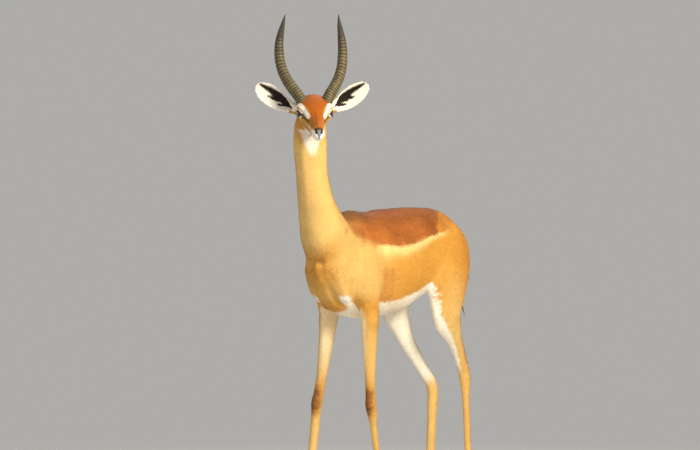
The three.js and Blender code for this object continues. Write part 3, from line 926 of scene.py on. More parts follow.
def parts_of(points):
    """The number in PARTS of the part of the body that each point belongs to."""
    x, y, z = points.T
    part = np.full(len(points), TORSO)
    part[past(points, NECK_FOOT) > 0] = NECK_PART
    for number, name in enumerate(STANCES):
        near = near_path(points, leg_line(name), 1.0)
        part[(near < 1.25) & (z < (650 if name.startswith("front") else 690))] = FIRST_LEG + number
    head = past(points, NECK_TOP) > 0
    part[head & (z > 1000)] = HEAD_PART
    for number, (_, side) in enumerate(SIDES):
        share, rise, ahead = ear_place(points, side)
        here = (share > 0.17) & (share < 1.1) & (np.abs(rise) < 42) & (np.abs(ahead) < 32)
        part[here & head & (z > 1150)] = EAR_RIGHT + number
    behind = dock_back(z)
    part[(np.abs(x) < 17) & (y > behind - 5) & (z > 640) & (z < 846)] = TAIL_PART
    return part


EAR_MARKS = [
    # share of the length, height across the blade, half width of the dark mark
    [(0.04, 0, 6), (0.2, 3, 8), (0.36, 7, 12), (0.5, 11, 13), (0.72, 13, 9), (0.93, 8, 4)],
    [(0.36, 6, 8), (0.5, -1, 7), (0.67, -6, 3)],
    [(0.26, 1, 7), (0.37, -8, 5), (0.45, -13, 2.5)],
]
SADDLE_EDGE = [(-330, 892), (-288, 868), (-216, 845), (-92, 834), (-4, 843), (68, 858), (100, 863)]
SADDLE_EDGE += [(150, 868), (217, 880), (330, 900)]
BELLY_EDGE = [(-400, 600), (-330, 640), (-224, 662), (-100, 671), (0, 690), (50, 706), (84, 716)]
BELLY_EDGE += [(110, 640), (200, 600)]
RUFOUS_HALF = [(-110, 28), (-60, 40), (-26, 43), (-8, 40), (8, 32), (24, 25), (40, 21), (95, 16)]
RUFOUS_HALF += [(118, 11)]


def markings(points, normals):
    """Colour, bareness and wetness of the hide at points of the body."""
    look = bpy.context.scene.gerenuk_hide
    tawny, saddle, stripe, white, rufous, brown = (
        np.array(getattr(look, key))
        for key in ("tawny", "saddle", "stripe", "white", "rufous", "brown")
    )
    part = parts_of(points)
    x, y, z = points.T
    wide = np.abs(x)
    grain = ripple(points, 38, 3)
    fine = ripple(points, 9, 4)
    colour = np.tile(tawny, (len(points), 1))

    def paint(mask, shade):
        mask = np.clip(mask, 0, 1)[:, None]
        colour[:] = colour * (1 - mask) + np.asarray(shade) * mask

    orange = tawny * 0.72 + rufous * 0.28
    cream = white * 0.4 + stripe * 0.6
    body = np.isin(part, (TORSO, NECK_PART)) | (part >= FIRST_LEG)
    # neck: pale in front, brown behind. The pale front reaches round onto the left side only, the
    # side the key light falls on, so it is partly the real pale front and partly painted light
    below_head = smooth(past(points, NECK_TOP), 46, -16) * (z > 900)
    neck = smooth(past(points, NECK_FOOT), -40, 30) * np.maximum(body, part == HEAD_PART)
    neck = neck * np.where(part == HEAD_PART, below_head, 1)
    # pale front of the neck plus painted light on its lit left side
    paint(0.6 * neck * smooth(normals @ unit((0.5, -1, 0)), -0.5, 0.5), stripe)
    paint(0.6 * neck * smooth(normals[:, 1], 0.35, 0.9), saddle * 0.7 + tawny * 0.3)
    # shoulder and thigh: paler than the flank, partly the coat's own tone and partly a painted
    # highlight where they bulge out
    trunk = body * (1 - neck)
    paint(0.45 * trunk * smooth(y, -90, -260) * smooth(y, -420, -360) * smooth(z, 650, 710), stripe)
    paint(0.45 * trunk * smooth(y, 60, 170) * smooth(y, 290, 200) * smooth(z, 800, 640), stripe)
    # painted shade: darker saddle brown in the fold behind the elbow
    mirrored_side = np.stack([wide, y, z], 1)
    elbow_fold_shade = near_path(mirrored_side, [(98, -172, 750), (96, -178, 685)], 42)
    paint(0.45 * smooth(elbow_fold_shade, 1, 0.1) * trunk, saddle)
    paint(0.75 * trunk * smooth(y, 130, 260) * smooth(z, 600, 740), orange)
    paint(0.25 * trunk * smooth(y, 240, 330) * smooth(z, 560, 700), saddle)
    # saddle, with the pale line under its edge
    edge = np.interp(y, *zip(*SADDLE_EDGE)) + 2.2 * fine
    rear = 0.8 * wide + 0.6 * y + 3 * fine
    ends = smooth(y + 16 * grain, -345, -280) * smooth(rear, 134, 124)
    width = np.interp(y, (-180, -60, 60, 130), (24, 19, 13, 7))
    line = np.exp(-(np.maximum(edge - width / 2 - z, 0) / width) ** 2)
    line = line * np.maximum(smooth(z, edge + 5, edge - 3), smooth(y, 60, 20))
    line = line * smooth(y, -232, -180) * smooth(y, 185, 110)
    rump_top = smooth(z, edge - 4, edge + 14) * smooth(rear, 200, 150) * smooth(y, -345, -280)
    paint(0.5 * rump_top * trunk, saddle * 0.8 + rufous * 0.2)
    paint(0.95 * line * trunk, stripe)
    soft = 5 + 24 * smooth(y, -170, -260)
    mottled = 9 * fine * smooth(y, -150, -230)
    top = smooth(z + mottled, edge - soft, edge + soft) * ends * body
    top = top * smooth(past(points, NECK_FOOT) + 10 * grain, 10, -75)
    paint(top, saddle * (1 + 0.14 * grain + 0.08 * fine)[:, None])
    dusk = np.maximum(smooth(y, 30, 110), smooth(z - edge, 48, 84))
    paint(0.7 * top * dusk, saddle * 0.45 + rufous * 0.15)
    dark = smooth(wide, 62, 20) * smooth(y, -345, -280) * smooth(y, -150, -240) * body
    paint(0.55 * dark * smooth(z, 890, 925), brown)
    # underparts
    belly = smooth(z + 2 * fine, *(np.interp(y, *zip(*BELLY_EDGE)) + k for k in (4, -4)))
    low = smooth(normals[:, 2], -0.45, -0.7) * (z < 705) * ((wide < 60) | (y > -185))
    front_legs = [leg_line(name) for name in ("front_right", "front_left")]
    off_legs = np.minimum(*(near_path(points, line, 1.0) for line in front_legs))
    off_legs = np.maximum(smooth(off_legs, 1.08, 1.3), smooth(wide, 88, 78))
    under = np.maximum(belly * (part == TORSO), low) * off_legs
    paint(under * body * smooth(y, -325, -295) * smooth(y, 235, 215), white)
    sparse = smooth(y, -250, -210) * smooth(y, 100, 40) * smooth(grain, 0, 0.8)
    paint(0.25 * under * body * sparse, tawny)
    for side in (-1, 1):
        armpit = [(56 * side, -344, 688, 0.8), (62 * side, -326, 668, 1), (68 * side, -304, 645, 1)]
        paint(1.4 * smooth(near_path(points, armpit, 23) + 0.1 * fine, 1, 0.5), white)
    rump = smooth(y, 302, 314) * smooth(wide, 40, 26) * smooth(z, 700, 740) * smooth(z, 842, 822)
    paint(rump * (part == TORSO), white)
    # legs: pale or white inside, dark knees, brown about the hoof
    for number, name in enumerate(STANCES):
        side = STANCES[name]["side"]
        joint = leg_joints(name)[1]
        here = (part == FIRST_LEG + number).astype(float)
        started = smooth(z, 680, 520)
        paint(0.45 * here * started * smooth(normals[:, 1], 0.75, 0.1), stripe)
        inner = -side * normals[:, 0] * 0.8 - normals[:, 1] * 0.6 + 0.05 * fine
        if name.startswith("hind"):
            here = here + (part == TORSO) * (y > 60) * (side * x > 0)
            edge_at = 0.24 + 0.2 * smooth(z, joint[2] + 110, joint[2])
            high = smooth(z, joint[2] - 6, joint[2] + 46)
            inside = smooth(inner, edge_at - 0.08, edge_at + 0.08) * smooth(z, 745, 715)
            paint(here * inside * high, white)
            rows = np.array(leg_stations(name)[3:])[::-1]
            middle, reach = (np.interp(z, rows[:, 2], rows[:, column]) for column in (1, 4))
            ahead = (middle - y) / reach + 0.08 * fine
            paint(here * smooth(ahead, 0.74, 0.95) * high * smooth(z, 690, 676), white)
            below_hock = smooth(z, joint[2] + 20, joint[2])
            paint(0.25 * here * smooth(inner, 0.2, 0.8) * below_hock, stripe)
            paint(0.5 * here * smooth(normals[:, 1], 0, 0.8) * smooth(z, 640, 540), orange)
        else:
            paint(0.85 * here * smooth(inner, 0.1, 0.6) * smooth(z, 400, 540), cream)
            paint(0.4 * here * smooth(inner, 0.4, 0.8) * smooth(z, 330, 300), stripe)
            paint(0.4 * here * smooth(z, 450, 400) * smooth(z, 320, 352), orange)
            knee = near_path(points, [joint + (0, -18, 34), joint + (0, -18, -14)], 31)
            paint(0.6 * smooth(knee + 0.16 * fine, 1.3, 0.2), saddle)
            paint(0.75 * smooth(knee + 0.2 * fine, 0.9, 0), brown * 1.2 + saddle * 0.3)
        low = smooth(z, FETLOCK_Z - 20, CORONET_Z + 6) * here
        paint(0.55 * low, saddle * 0.7 + brown * 0.3)
        paint(0.3 * here * smooth(z, 110, 84) * smooth(normals[:, 1], 0.1, 0.8), brown)
    # tail: tawny above, dark towards the tuft, pale beneath
    tail = part == TAIL_PART
    paint(tail * 0.9 * smooth(normals[:, 1], 0.1, -0.4), white)
    paint(tail * smooth(z, 790, 715), brown)

    head = to_head(points)
    f, side_way, u = head.T
    l = np.abs(side_way)
    turned = normals @ HEAD
    on_head = (part == HEAD_PART) | (part >= EAR_RIGHT) & (part <= EAR_LEFT)
    ahead, across = ((points[:, :2] - axis_at(z, NECK).T) @ LEVEL_HEAD[:2, :2]).T
    across = np.abs(across) + 2 * fine
    bib = np.interp(z, (1110, 1150, 1190, 1215), (2, 13, 27, 42))
    throat = smooth(across, bib + 10, bib - 5) * smooth(ahead, 6, 22) * (z < 1240)
    throat = 0.85 * throat * smooth(z + 3 * fine, 1112, 1152)
    paint(throat * ((part == NECK_PART) | (part == HEAD_PART) & (u < -56)), white)
    mirrored = np.stack([f, l, u], 1)

    def mark(path, radius, shade, amount=1.0, soft=0.35):
        paint(on_head * amount * smooth(near_path(mirrored, path, radius), 1, 1 - soft), shade)

    paint(on_head * 0.3 * smooth(past(points, NECK_TOP), 0, 60), tawny * 0.6 + brown * 0.4)
    jaw = smooth(turned[:, 2], -0.35, -0.72) * smooth(u, -40, -56)
    paint(on_head * jaw * smooth(f, -60, -20), white)
    half = np.interp(f, *zip(*RUFOUS_HALF)) + 0.8 * fine
    crown = smooth(l, half + 2.2, half - 2.2) * smooth(u, -34, -22 + 6 * (f < 60))
    crown = crown * smooth(f, -112, -96) * smooth(turned[:, 2], -0.35, 0.05)
    paint(on_head * crown, rufous)
    paint(0.5 * on_head * crown * smooth(f, 60, 112), orange)
    paint(0.4 * on_head * crown * smooth(f, -50, -90), saddle)
    # painted shade: the bridge of the nose darker
    paint(0.35 * on_head * crown * smooth(f, 30, 90) * smooth(l, 16, 4), saddle * 0.5)
    brow = [(-30, 51, 26), (-12, 48, 26), (2, 42, 23), (18, 33, 15), (32, 27, 8), (46, 24, 2)]
    mark(brow, 9, white)
    # painted shade: brown on the temple, from behind the eye towards the ear's root
    mark([(-34, 52, 2), (-66, 46, 4)], 22, tawny * 0.45 + brown * 0.55, 0.55, 0.8)
    cheek = [(8, 48, -16), (24, 43, -18), (44, 34, -22), (66, 26, -27), (92, 22, -33)]
    mark(cheek, 6.5, white, 0.9, 0.6)
    mark([(-26, 50, 16), (-46, 52, 14)], 11, white, 0.85, 0.6)
    root = near_path(mirrored, [(-44, 53, 12), (-56, 58, 4), (-64, 66, 8)], 14)
    paint(0.9 * on_head * smooth(root, 1, 0.6) * smooth(turned[:, 0], -0.3, 0.2), white)
    paint(0.6 * on_head * smooth(root, 1.2, 0.7) * smooth(turned[:, 0], 0.1, -0.4), brown)
    mark([(8, 49, -7), (20, 42, -7)], 9, brown, 0.5, 0.9)
    mark([(27, 35, -4), (40, 29, -7), (56, 24, -10)], 6, brown, 0.9, 0.6)
    # painted shade: darker along the hollow on the side of the nose
    mark([(44, 27, -12), (84, 20, -16)], 8, tawny * 0.4 + brown * 0.6, 0.6, 0.8)
    # muzzle: white lips and chin, a bare blue-grey pad between the nostrils
    paint(on_head * smooth(f, 90, 102) * smooth(u, -19, -26), white)
    pad_half = np.interp(u, (-48, -38, -28, -18), (1.2, 2.6, 7, 8.5))
    pad = smooth(l, pad_half + 1.4, pad_half - 0.6) * smooth(f, 119, 124) * smooth(u, -50, -46)
    pad = pad * smooth(u, -14, -19) * on_head
    paint(pad, linear("83878B"))
    paint(on_head * smooth(f, 112, 118) * smooth(u, -24, -17) * smooth(f, 130, 122) * 0.8, brown)
    nostril = [(129, 8, -27), (126, 9.5, -22), (122, 11, -17), (116, 11.5, -13)]
    dark_hole = smooth(near_path(mirrored, nostril, 5), 1, 0.5) * on_head
    paint(dark_hole, brown * 0.25)
    lips = smooth(near_path(mirrored, MOUTH_LINE, 3.0), 1, 0.3) * on_head
    paint(lips * 0.85, brown * 0.7)
    split = smooth(near_path(mirrored, [(137, 0, -30), (136, 0, -46)], 2.2), 1, 0.3) * on_head
    paint(split * 0.8, brown * 0.6)
    bare = np.maximum.reduce([pad, dark_hole, 0.7 * lips, split])
    wet = pad * 0.7
    # eyes: white ring, dark rim
    for _, side in SIDES:
        centre, turn = eye_frame(side)
        local = (points - centre) @ turn
        reach = np.linalg.norm(local, axis=1)
        here = (reach < 30) & (local[:, 0] > 0) & on_head
        gap = lid_gap(local)
        paint(here * smooth(gap, 7, 4), white)
        rim = here * smooth(gap, 3.4, 1.8)
        paint(rim, brown * 0.5)
        corner = near_path(local, [(14, 12, -1), (11, 20, -4)], 4.5)
        paint(here * smooth(corner, 1, 0.4), brown * 0.5)
        bare = np.maximum(bare, rim)
        wet = np.maximum(wet, rim * smooth(gap, 1.2, 0.2))
    # ears: white inside with dark branching marks, brown-grey behind
    for number, (_, side) in enumerate(SIDES):
        here = part == EAR_RIGHT + number
        share, rise, ahead = ear_place(points, side)
        face = ear_axes(side)[2]
        inside = smooth(normals @ face, -0.15, 0.15)
        rim = smooth(share, 0.86, 0.95)
        shade = tawny * 0.6 + brown * 0.4
        paint(here * (1 - inside), shade)
        paint(here * (1 - inside) * 0.7 * smooth(share, 0.72, 0.95), brown)
        paint(here * np.maximum(inside, rim * smooth(normals @ face, -0.6, 0)), white)
        marks = np.zeros(len(points))
        spots = np.stack([share * 155, rise, 0 * rise], 1)
        for row in EAR_MARKS:
            path = [(s * 155, r, 0, w) for s, r, w in row]
            gap = near_path(spots, path, 1.0) + 0.1 * fine
            marks = np.maximum(marks, smooth(gap, 1.1, 0.85))
        paint(here * inside * marks * smooth(ahead, 6, 0), brown * 0.45)
    colour *= (1 + 0.05 * grain + 0.04 * fine)[:, None]
    return np.clip(colour, 0.002, 0.95), np.clip(bare, 0, 1), np.clip(wet, 0, 1)


def lie_weights(points):
    """How far the coat lies along the body (first) or the head (second), and not down."""
    z = points[:, 2]
    neck = smooth(past(points, NECK_FOOT), -60, 20)
    head = smooth(past(points, NECK_TOP), -14, 10) * (z > 1000)
    trunk = (1 - neck) * smooth(z, 600, 700) * (1 - head)
    return trunk, head


# Materials.

SILKY = {"Specular IOR Level": 0.2, "Sheen Weight": 0.03, "Sheen Roughness": 0.5}
HORN_IOR = 1.54


def add_node(tree, kind, inputs=(), give=None, **settings):
    """A new node, or the output of it that give names. Each input takes a value or the socket
    that feeds it, and a kind that names no family of nodes is a ShaderNode."""
    made = tree.nodes.new(kind if "Node" in kind else f"ShaderNode{kind}")
    for key, value in settings.items():
        setattr(made, key, value)
    for key, value in dict(inputs).items():
        if isinstance(value, bpy.types.NodeSocket):
            tree.links.new(value, made.inputs[key])
        else:
            made.inputs[key].default_value = value
    return made if give is None else made.outputs[give]


def kept_material(name, fill, *arguments):
    """The material of that name, filled with nodes the first time that it is asked for."""
    material = bpy.data.materials.get(name)
    if material is None:
        material = bpy.data.materials.new(name)
        material.use_nodes = True
        material.node_tree.nodes.clear()
        fill(partial(add_node, material.node_tree), *arguments)
    return material


def hide_nodes(node):
    """Short flat antelope hair on skin: the eye sees soft streaks that follow the body, tips that
    catch the light, and bare moist skin only on the nose pad and the rims of the eyes."""
    place = node("TexCoord", give="Object")
    colour = node("Attribute", give="Color", attribute_name="fur_colour")
    bare, wet = (node("Attribute", give="Fac", attribute_name=key) for key in ("bare", "wet"))
    lie = node("Attribute", give="Color", attribute_name="lie")
    ways = node("SeparateColor", {"Color": lie}).outputs
    # single hairs are 0.1 mm, too fine to show: locks 3 mm wide and 30 mm long stand for them
    unturned, as_head = (0, 0, 0), tuple(Matrix(HEAD.T.tolist()).to_euler())
    streaks = []
    for turn, scale in (
        (unturned, (300, 300, 34)),
        (unturned, (300, 34, 300)),
        (as_head, (60, 460, 460)),
    ):
        spot = node("Mapping", {"Vector": place, "Rotation": turn, "Scale": scale}, 0)
        lock = {"Vector": spot, "Scale": 1.0, "Detail": 3.0, "Roughness": 0.6}
        streaks.append(node("TexNoise", lock, "Fac"))
    along = node("Mix", {0: ways[0], 2: streaks[0], 3: streaks[1]}, 0)
    along = node("Mix", {0: ways[1], 2: along, 3: streaks[2]}, 0)
    light = {"Value": along, "From Min": 0.3, "From Max": 0.7, "To Min": 0.84, "To Max": 1.12}
    light = node("MapRange", light, 0)
    shade = {0: 1.0, 6: colour, 7: light}
    shade = node("Mix", shade, 2, data_type="RGBA", blend_type="MULTIPLY")
    pebble = node("TexVoronoi", {"Vector": place, "Scale": 900.0}, "Distance")
    height = node("Mix", {0: bare, 2: along, 3: pebble}, 0)
    bump = node("Bump", {"Height": height, "Strength": 0.5, "Distance": 0.0012}, 0)
    rough = node("MapRange", {"Value": wet, "To Min": 0.66, "To Max": 0.3}, 0)
    hair = {"Base Color": shade, "Roughness": rough, "Normal": bump, **SILKY}
    node("OutputMaterial", {"Surface": node("BsdfPrincipled", hair, 0)})


def coat_nodes(node):
    """Loose tufts of short antelope hair: a little darker at the roots and paler at the tips, with
    a soft silky sheen that blurs the outline."""
    colour = node("Attribute", give="Color", attribute_name="fur_colour")
    tip = node("Attribute", give="Fac", attribute_name="tipward")
    place = node("TexCoord", give="Object")
    patchy = node("TexNoise", {"Vector": place, "Scale": 160.0, "Detail": 2.0}, "Fac")
    light = node("Math", {0: tip, 1: 0.35, 2: patchy}, 0, operation="MULTIPLY_ADD")
    light = {"Value": light, "From Min": 0.35, "From Max": 0.95, "To Min": 0.93, "To Max": 1.1}
    light = node("MapRange", light, 0)
    shade = {0: 1.0, 6: colour, 7: light}
    shade = node("Mix", shade, 2, data_type="RGBA", blend_type="MULTIPLY")
    hair = {"Base Color": shade, "Roughness": 0.62, **SILKY}
    node("OutputMaterial", {"Surface": node("BsdfPrincipled", hair, 0)})


def eye_nodes(node):
    """Antelope eye: a nearly black brown with a level oblong pupil, under a wet clear cornea that
    gives one sharp glint."""
    spot = node("Attribute", give="Vector", attribute_name="eye_place")
    axes = node("SeparateXYZ", {0: spot}).outputs
    # the pupil is an oblong and the iris is round: each is a sum of two powers
    sums = []
    for power, halves in ((2.6, (6.6, 3.0)), (2.0, (1.0, 1.0))):
        parts = []
        for axis, half in zip(axes[1:], halves):
            share = node("Math", {0: axis, 1: half}, 0, operation="DIVIDE")
            share = node("Math", {0: share}, 0, operation="ABSOLUTE")
            parts.append(node("Math", {0: share, 1: power}, 0, operation="POWER"))
        sums.append(node("Math", {0: parts[0], 1: parts[1]}, 0, operation="ADD"))
    radius = node("Math", {0: sums[1]}, 0, operation="SQRT")
    pupil, rim = (
        node(
            "MapRange",
            {"Value": value, "From Min": low, "From Max": high},
            0,
            interpolation_type="SMOOTHSTEP",
        )
        for value, low, high in ((sums[0], 0.8, 1.25), (radius, 9.6, 11.8))
    )
    fibres = node("TexNoise", {"Vector": spot, "Scale": 1.4, "Detail": 3.0}, "Fac")
    colour = (*linear("38200F"), 1)
    for share, dark in ((fibres, "1C0F08"), (pupil, "060405")):
        ends = {0: share, 6: (*linear(dark), 1), 7: colour}
        colour = node("Mix", ends, 2, data_type="RGBA")
    ends = {0: rim, 6: colour, 7: (*linear("120B08"), 1)}
    colour = node("Mix", ends, 2, data_type="RGBA")
    wet_ball = {"Base Color": colour, "Roughness": 0.12, "IOR": 1.38}
    cornea = {"Coat Weight": 1.0, "Coat Roughness": 0.03}
    node("OutputMaterial", {"Surface": node("BsdfPrincipled", {**wet_ball, **cornea}, 0)})


def horn_nodes(node, look):
    """Keratin horn: tan crests over dark grooves, the tan partly wear and partly a painted
    highlight on the tops of the rings and the dark of the grooves partly painted shade, with fine
    lengthwise cracks and a satin polish towards the tip."""
    crest, tip = (
        node("Attribute", give="Fac", attribute_name=key) for key in ("crest", "tipward")
    )
    place = node("TexCoord", give="Object")
    cracks = node("Mapping", {"Vector": place, "Scale": (520, 520, 40)}, 0)
    grain = node("TexNoise", {"Vector": cracks, "Scale": 1.0, "Detail": 4.0}, "Fac")
    blotch = node("TexNoise", {"Vector": place, "Scale": 60.0, "Detail": 2.0}, "Fac")
    # tan on the crests where the blotches allow, partly wear and partly a painted highlight; the
    # groove colour left between them carries painted shade
    wear_and_highlight = node("Math", {0: crest, 1: blotch}, 0, operation="MULTIPLY")
    wear_and_highlight = node("MapRange", {"Value": wear_and_highlight, "From Min": 0.05, "From Max": 0.6}, 0)
    colour = {0: wear_and_highlight, 6: (*look.groove, 1), 7: (*look.ridge, 1)}
    colour = node("Mix", colour, 2, data_type="RGBA")
    colour = {0: tip, 6: colour, 7: (*linear("4A443B"), 1)}
    colour = node("Mix", colour, 2, data_type="RGBA")
    light = node("MapRange", {"Value": grain, "To Min": 0.62, "To Max": 1.3}, 0)
    shade = {0: 1.0, 6: colour, 7: light}
    shade = node("Mix", shade, 2, data_type="RGBA", blend_type="MULTIPLY")
    bump = node("Bump", {"Height": grain, "Strength": 0.45, "Distance": 0.0007}, 0)
    rough = node("MapRange", {"Value": tip, "To Min": 0.55, "To Max": 0.36}, 0)
    horn = {"Base Color": shade, "Roughness": rough, "Normal": bump, "IOR": HORN_IOR}
    node("OutputMaterial", {"Surface": node("BsdfPrincipled", horn, 0)})


def hoof_nodes(node):
    """Hoof horn: black-brown, with growth lines across the wall and a dull dusty edge where it
    meets the ground."""
    place = node("TexCoord", give="Object")
    height = node("SeparateXYZ", {0: place}, 2)
    growth = node("Mapping", {"Vector": place, "Scale": (30, 30, 420)}, 0)
    lines = node("TexNoise", {"Vector": growth, "Scale": 1.0, "Detail": 3.0}, "Fac")
    dust = {"Value": height, "From Min": 0.0, "From Max": 0.014, "To Min": 0.7, "To Max": 0.0}
    dust = node("MapRange", dust, 0)
    shade = {0: lines, 6: (*linear("17120E"), 1), 7: (*linear("463A2D"), 1)}
    shade = node("Mix", shade, 2, data_type="RGBA")
    shade = {0: dust, 6: shade, 7: (*linear("7A6A54"), 1)}
    shade = node("Mix", shade, 2, data_type="RGBA")
    rough = node("MapRange", {"Value": dust, "To Min": 0.4, "To Max": 0.8}, 0)
    bump = node("Bump", {"Height": lines, "Strength": 0.35, "Distance": 0.0006}, 0)
    horn = {"Base Color": shade, "Roughness": rough, "Normal": bump, "IOR": HORN_IOR}
    node("OutputMaterial", {"Surface": node("BsdfPrincipled", horn, 0)})


def floor_nodes(node, look):
    """Matt studio floor that fades out far from the animal, so that no edge of it shows."""
    place = node("TexCoord", give="Object")
    far = node("VectorMath", {0: place}, "Value", operation="LENGTH")
    fade = {"Value": far, "From Min": 0.9, "From Max": 3.4}
    fade = node("MapRange", fade, 0, interpolation_type="SMOOTHERSTEP")
    matt = node("BsdfDiffuse", {"Color": (*look.floor, 1), "Roughness": 0.8}, 0)
    clear = node("BsdfTransparent", give=0)
    blend = node("MixShader", {0: fade, 1: matt, 2: clear}, 0)
    node("OutputMaterial", {"Surface": blend})


# Pieces.

FLESH = ("torso", "neck", "head", "tail", "ear_right", "ear_left")
FLESH += tuple(f"leg_{name}" for name in STANCES)


def paint_mesh(mesh, points, normals):
    colour, bare, wet = markings(points, normals)
    trunk, head = lie_weights(points)
    add_attribute(mesh, "fur_colour", with_alpha(colour))
    add_attribute(mesh, "bare", bare)
    add_attribute(mesh, "wet", wet)
    add_attribute(mesh, "lie", with_alpha(np.stack([trunk, head, 0 * head], 1)))


def split_face(skin):
    """Halves the edges of the skin about the eyes and the muzzle, where the forms are finest."""
    head = to_head(skin.points)
    fine = (head[:, 0] > 78) & (np.linalg.norm(head, axis=1) < 160)
    for _, side in SIDES:
        fine |= np.linalg.norm(skin.points - eye_frame(side)[0], axis=1) < 25
    work = bmesh.new()
    work.from_mesh(skin.mesh)
    work.verts.ensure_lookup_table()
    chosen = np.flatnonzero(fine).tolist()
    marked = set(chosen)
    edges = [
        e
        for e in {e for i in chosen for e in work.verts[i].link_edges}
        if e.verts[0].index in marked and e.verts[1].index in marked
    ]
    bmesh.ops.subdivide_edges(work, edges=edges, cuts=1, use_grid_fill=True, smooth=0.5)
    work.to_mesh(skin.mesh)
    work.free()
    skin.mesh.update()
    skin.read()


class GERENUK_OT_hide(bpy.types.Operator):
    """Builds the one skin that stands for all the nodes of flesh, with its folds and markings"""

    bl_idname = "gerenuk.hide"
    bl_label = "Hide"

    def execute(self, context):
        look = context.scene.gerenuk_hide
        piece = new_object("hide", new_mesh("hide", *flesh(look.coat_depth * 1000)))
        cells = piece.modifiers.new("join", "REMESH")
        cells.mode = "VOXEL"
        cells.voxel_size = look.voxel * 1
        piece.data = largest_shell(applied(piece))
        skin = Skin(piece.data)
        part = parts_of(skin.points)
        x, y, z = skin.points.T
        thin = np.isin(part, (EAR_RIGHT, EAR_LEFT, TAIL_PART))
        skin.relax(np.where(thin, 0.35, 1), 3)
        seams = smooth(np.abs(past(skin.points, NECK_FOOT) + 20), 120, 60)
        seams = np.maximum(seams, smooth(z, 600, 640) * smooth(y, -160, -200))
        seams = np.maximum(seams, smooth(z, 640, 690) * smooth(y, 40, 90))
        seams = np.maximum(seams, smooth(np.abs(past(skin.points, NECK_TOP)), 34, 16) * (z > 1000))
        seams = seams * ~thin * (1 - smooth(y, 290, 310) * smooth(np.abs(x), 26, 20))
        skin.relax(seams, 60)
        skin.measure()
        sculpt_body(skin)
        sculpt_legs(skin)
        split_face(skin)
        sculpt_head(skin)
        skin.relax(np.where(np.isin(parts_of(skin.points), (EAR_RIGHT, EAR_LEFT)), 0.3, 0.4), 1)
        skin.measure()
        faces = len(piece.data.loops) - 2 * len(piece.data.polygons)
        head = to_head(skin.points)
        keep = smooth(np.linalg.norm(head - (40, 0, -20), axis=1), 150, 90)
        group = piece.vertex_groups.new(name="keep")
        for level in range(1, 6):
            spots = np.flatnonzero((keep > level / 5 - 0.2) & (keep <= level / 5))
            group.add(spots.tolist(), level / 5, "REPLACE")
        thinned = piece.modifiers.new("thin", "DECIMATE")
        thinned.ratio = min(1.0, look.skin_faces / faces)
        thinned.vertex_group = "keep"
        thinned.invert_vertex_group = True
        thinned.vertex_group_factor = 1.2
        mesh = applied(piece)
        piece.vertex_groups.clear()
        skin = Skin(mesh)
        paint_mesh(mesh, skin.points, skin.normals)
        mesh.shade_smooth()
        material = kept_material("short flat hair on hide", hide_nodes)
        finish_piece(piece, material, FLESH)
        return {"FINISHED"}


class GERENUK_OT_eyes(bpy.types.Operator):
    """Builds both eyes, with a cornea that stands a little proud of the ball"""

    bl_idname = "gerenuk.eyes"
    bl_label = "Eyes"

    def execute(self, context):
        for word, side in SIDES:
            centre, turn = eye_frame(side)
            points, faces = closed_faces(globe(np.zeros(3), 1.0, about("Y", 90), 40))
            out = smooth(points[:, 0], 0.66, 0.86)
            local = points * (EYE_RADIUS - 0.15 + 0.55 * out)[:, None]
            ball = new_mesh("eyeball", centre + local @ turn.T, faces)
            piece = new_object(f"eyeball_{word}", ball)
            add_attribute(piece.data, "eye_place", local)
            finish_closed(piece, kept_material("wet brown eye", eye_nodes), [f"eye_{word}"])
        return {"FINISHED"}


def new_tree(name, inputs, attributes):
    """A tree of Geometry Nodes, add_node for it, and the sockets that give its inputs and the
    points' attributes, by name. Its first input is the geometry and its last the material."""
    tree = bpy.data.node_groups.new(name, "GeometryNodeTree")
    for label, kind in (("Geometry", "Geometry"), *inputs, ("Material", "Material")):
        tree.interface.new_socket(label, in_out="INPUT", socket_type=f"NodeSocket{kind}")
    tree.interface.new_socket("Geometry", in_out="OUTPUT", socket_type="NodeSocketGeometry")
    node = partial(add_node, tree)
    given = {socket.name: socket for socket in node("NodeGroupInput").outputs}
    for label, kind in attributes:
        named = node("GeometryNodeInputNamedAttribute", {"Name": label}, 0, data_type=kind)
        given[label] = named
    return tree, node, given


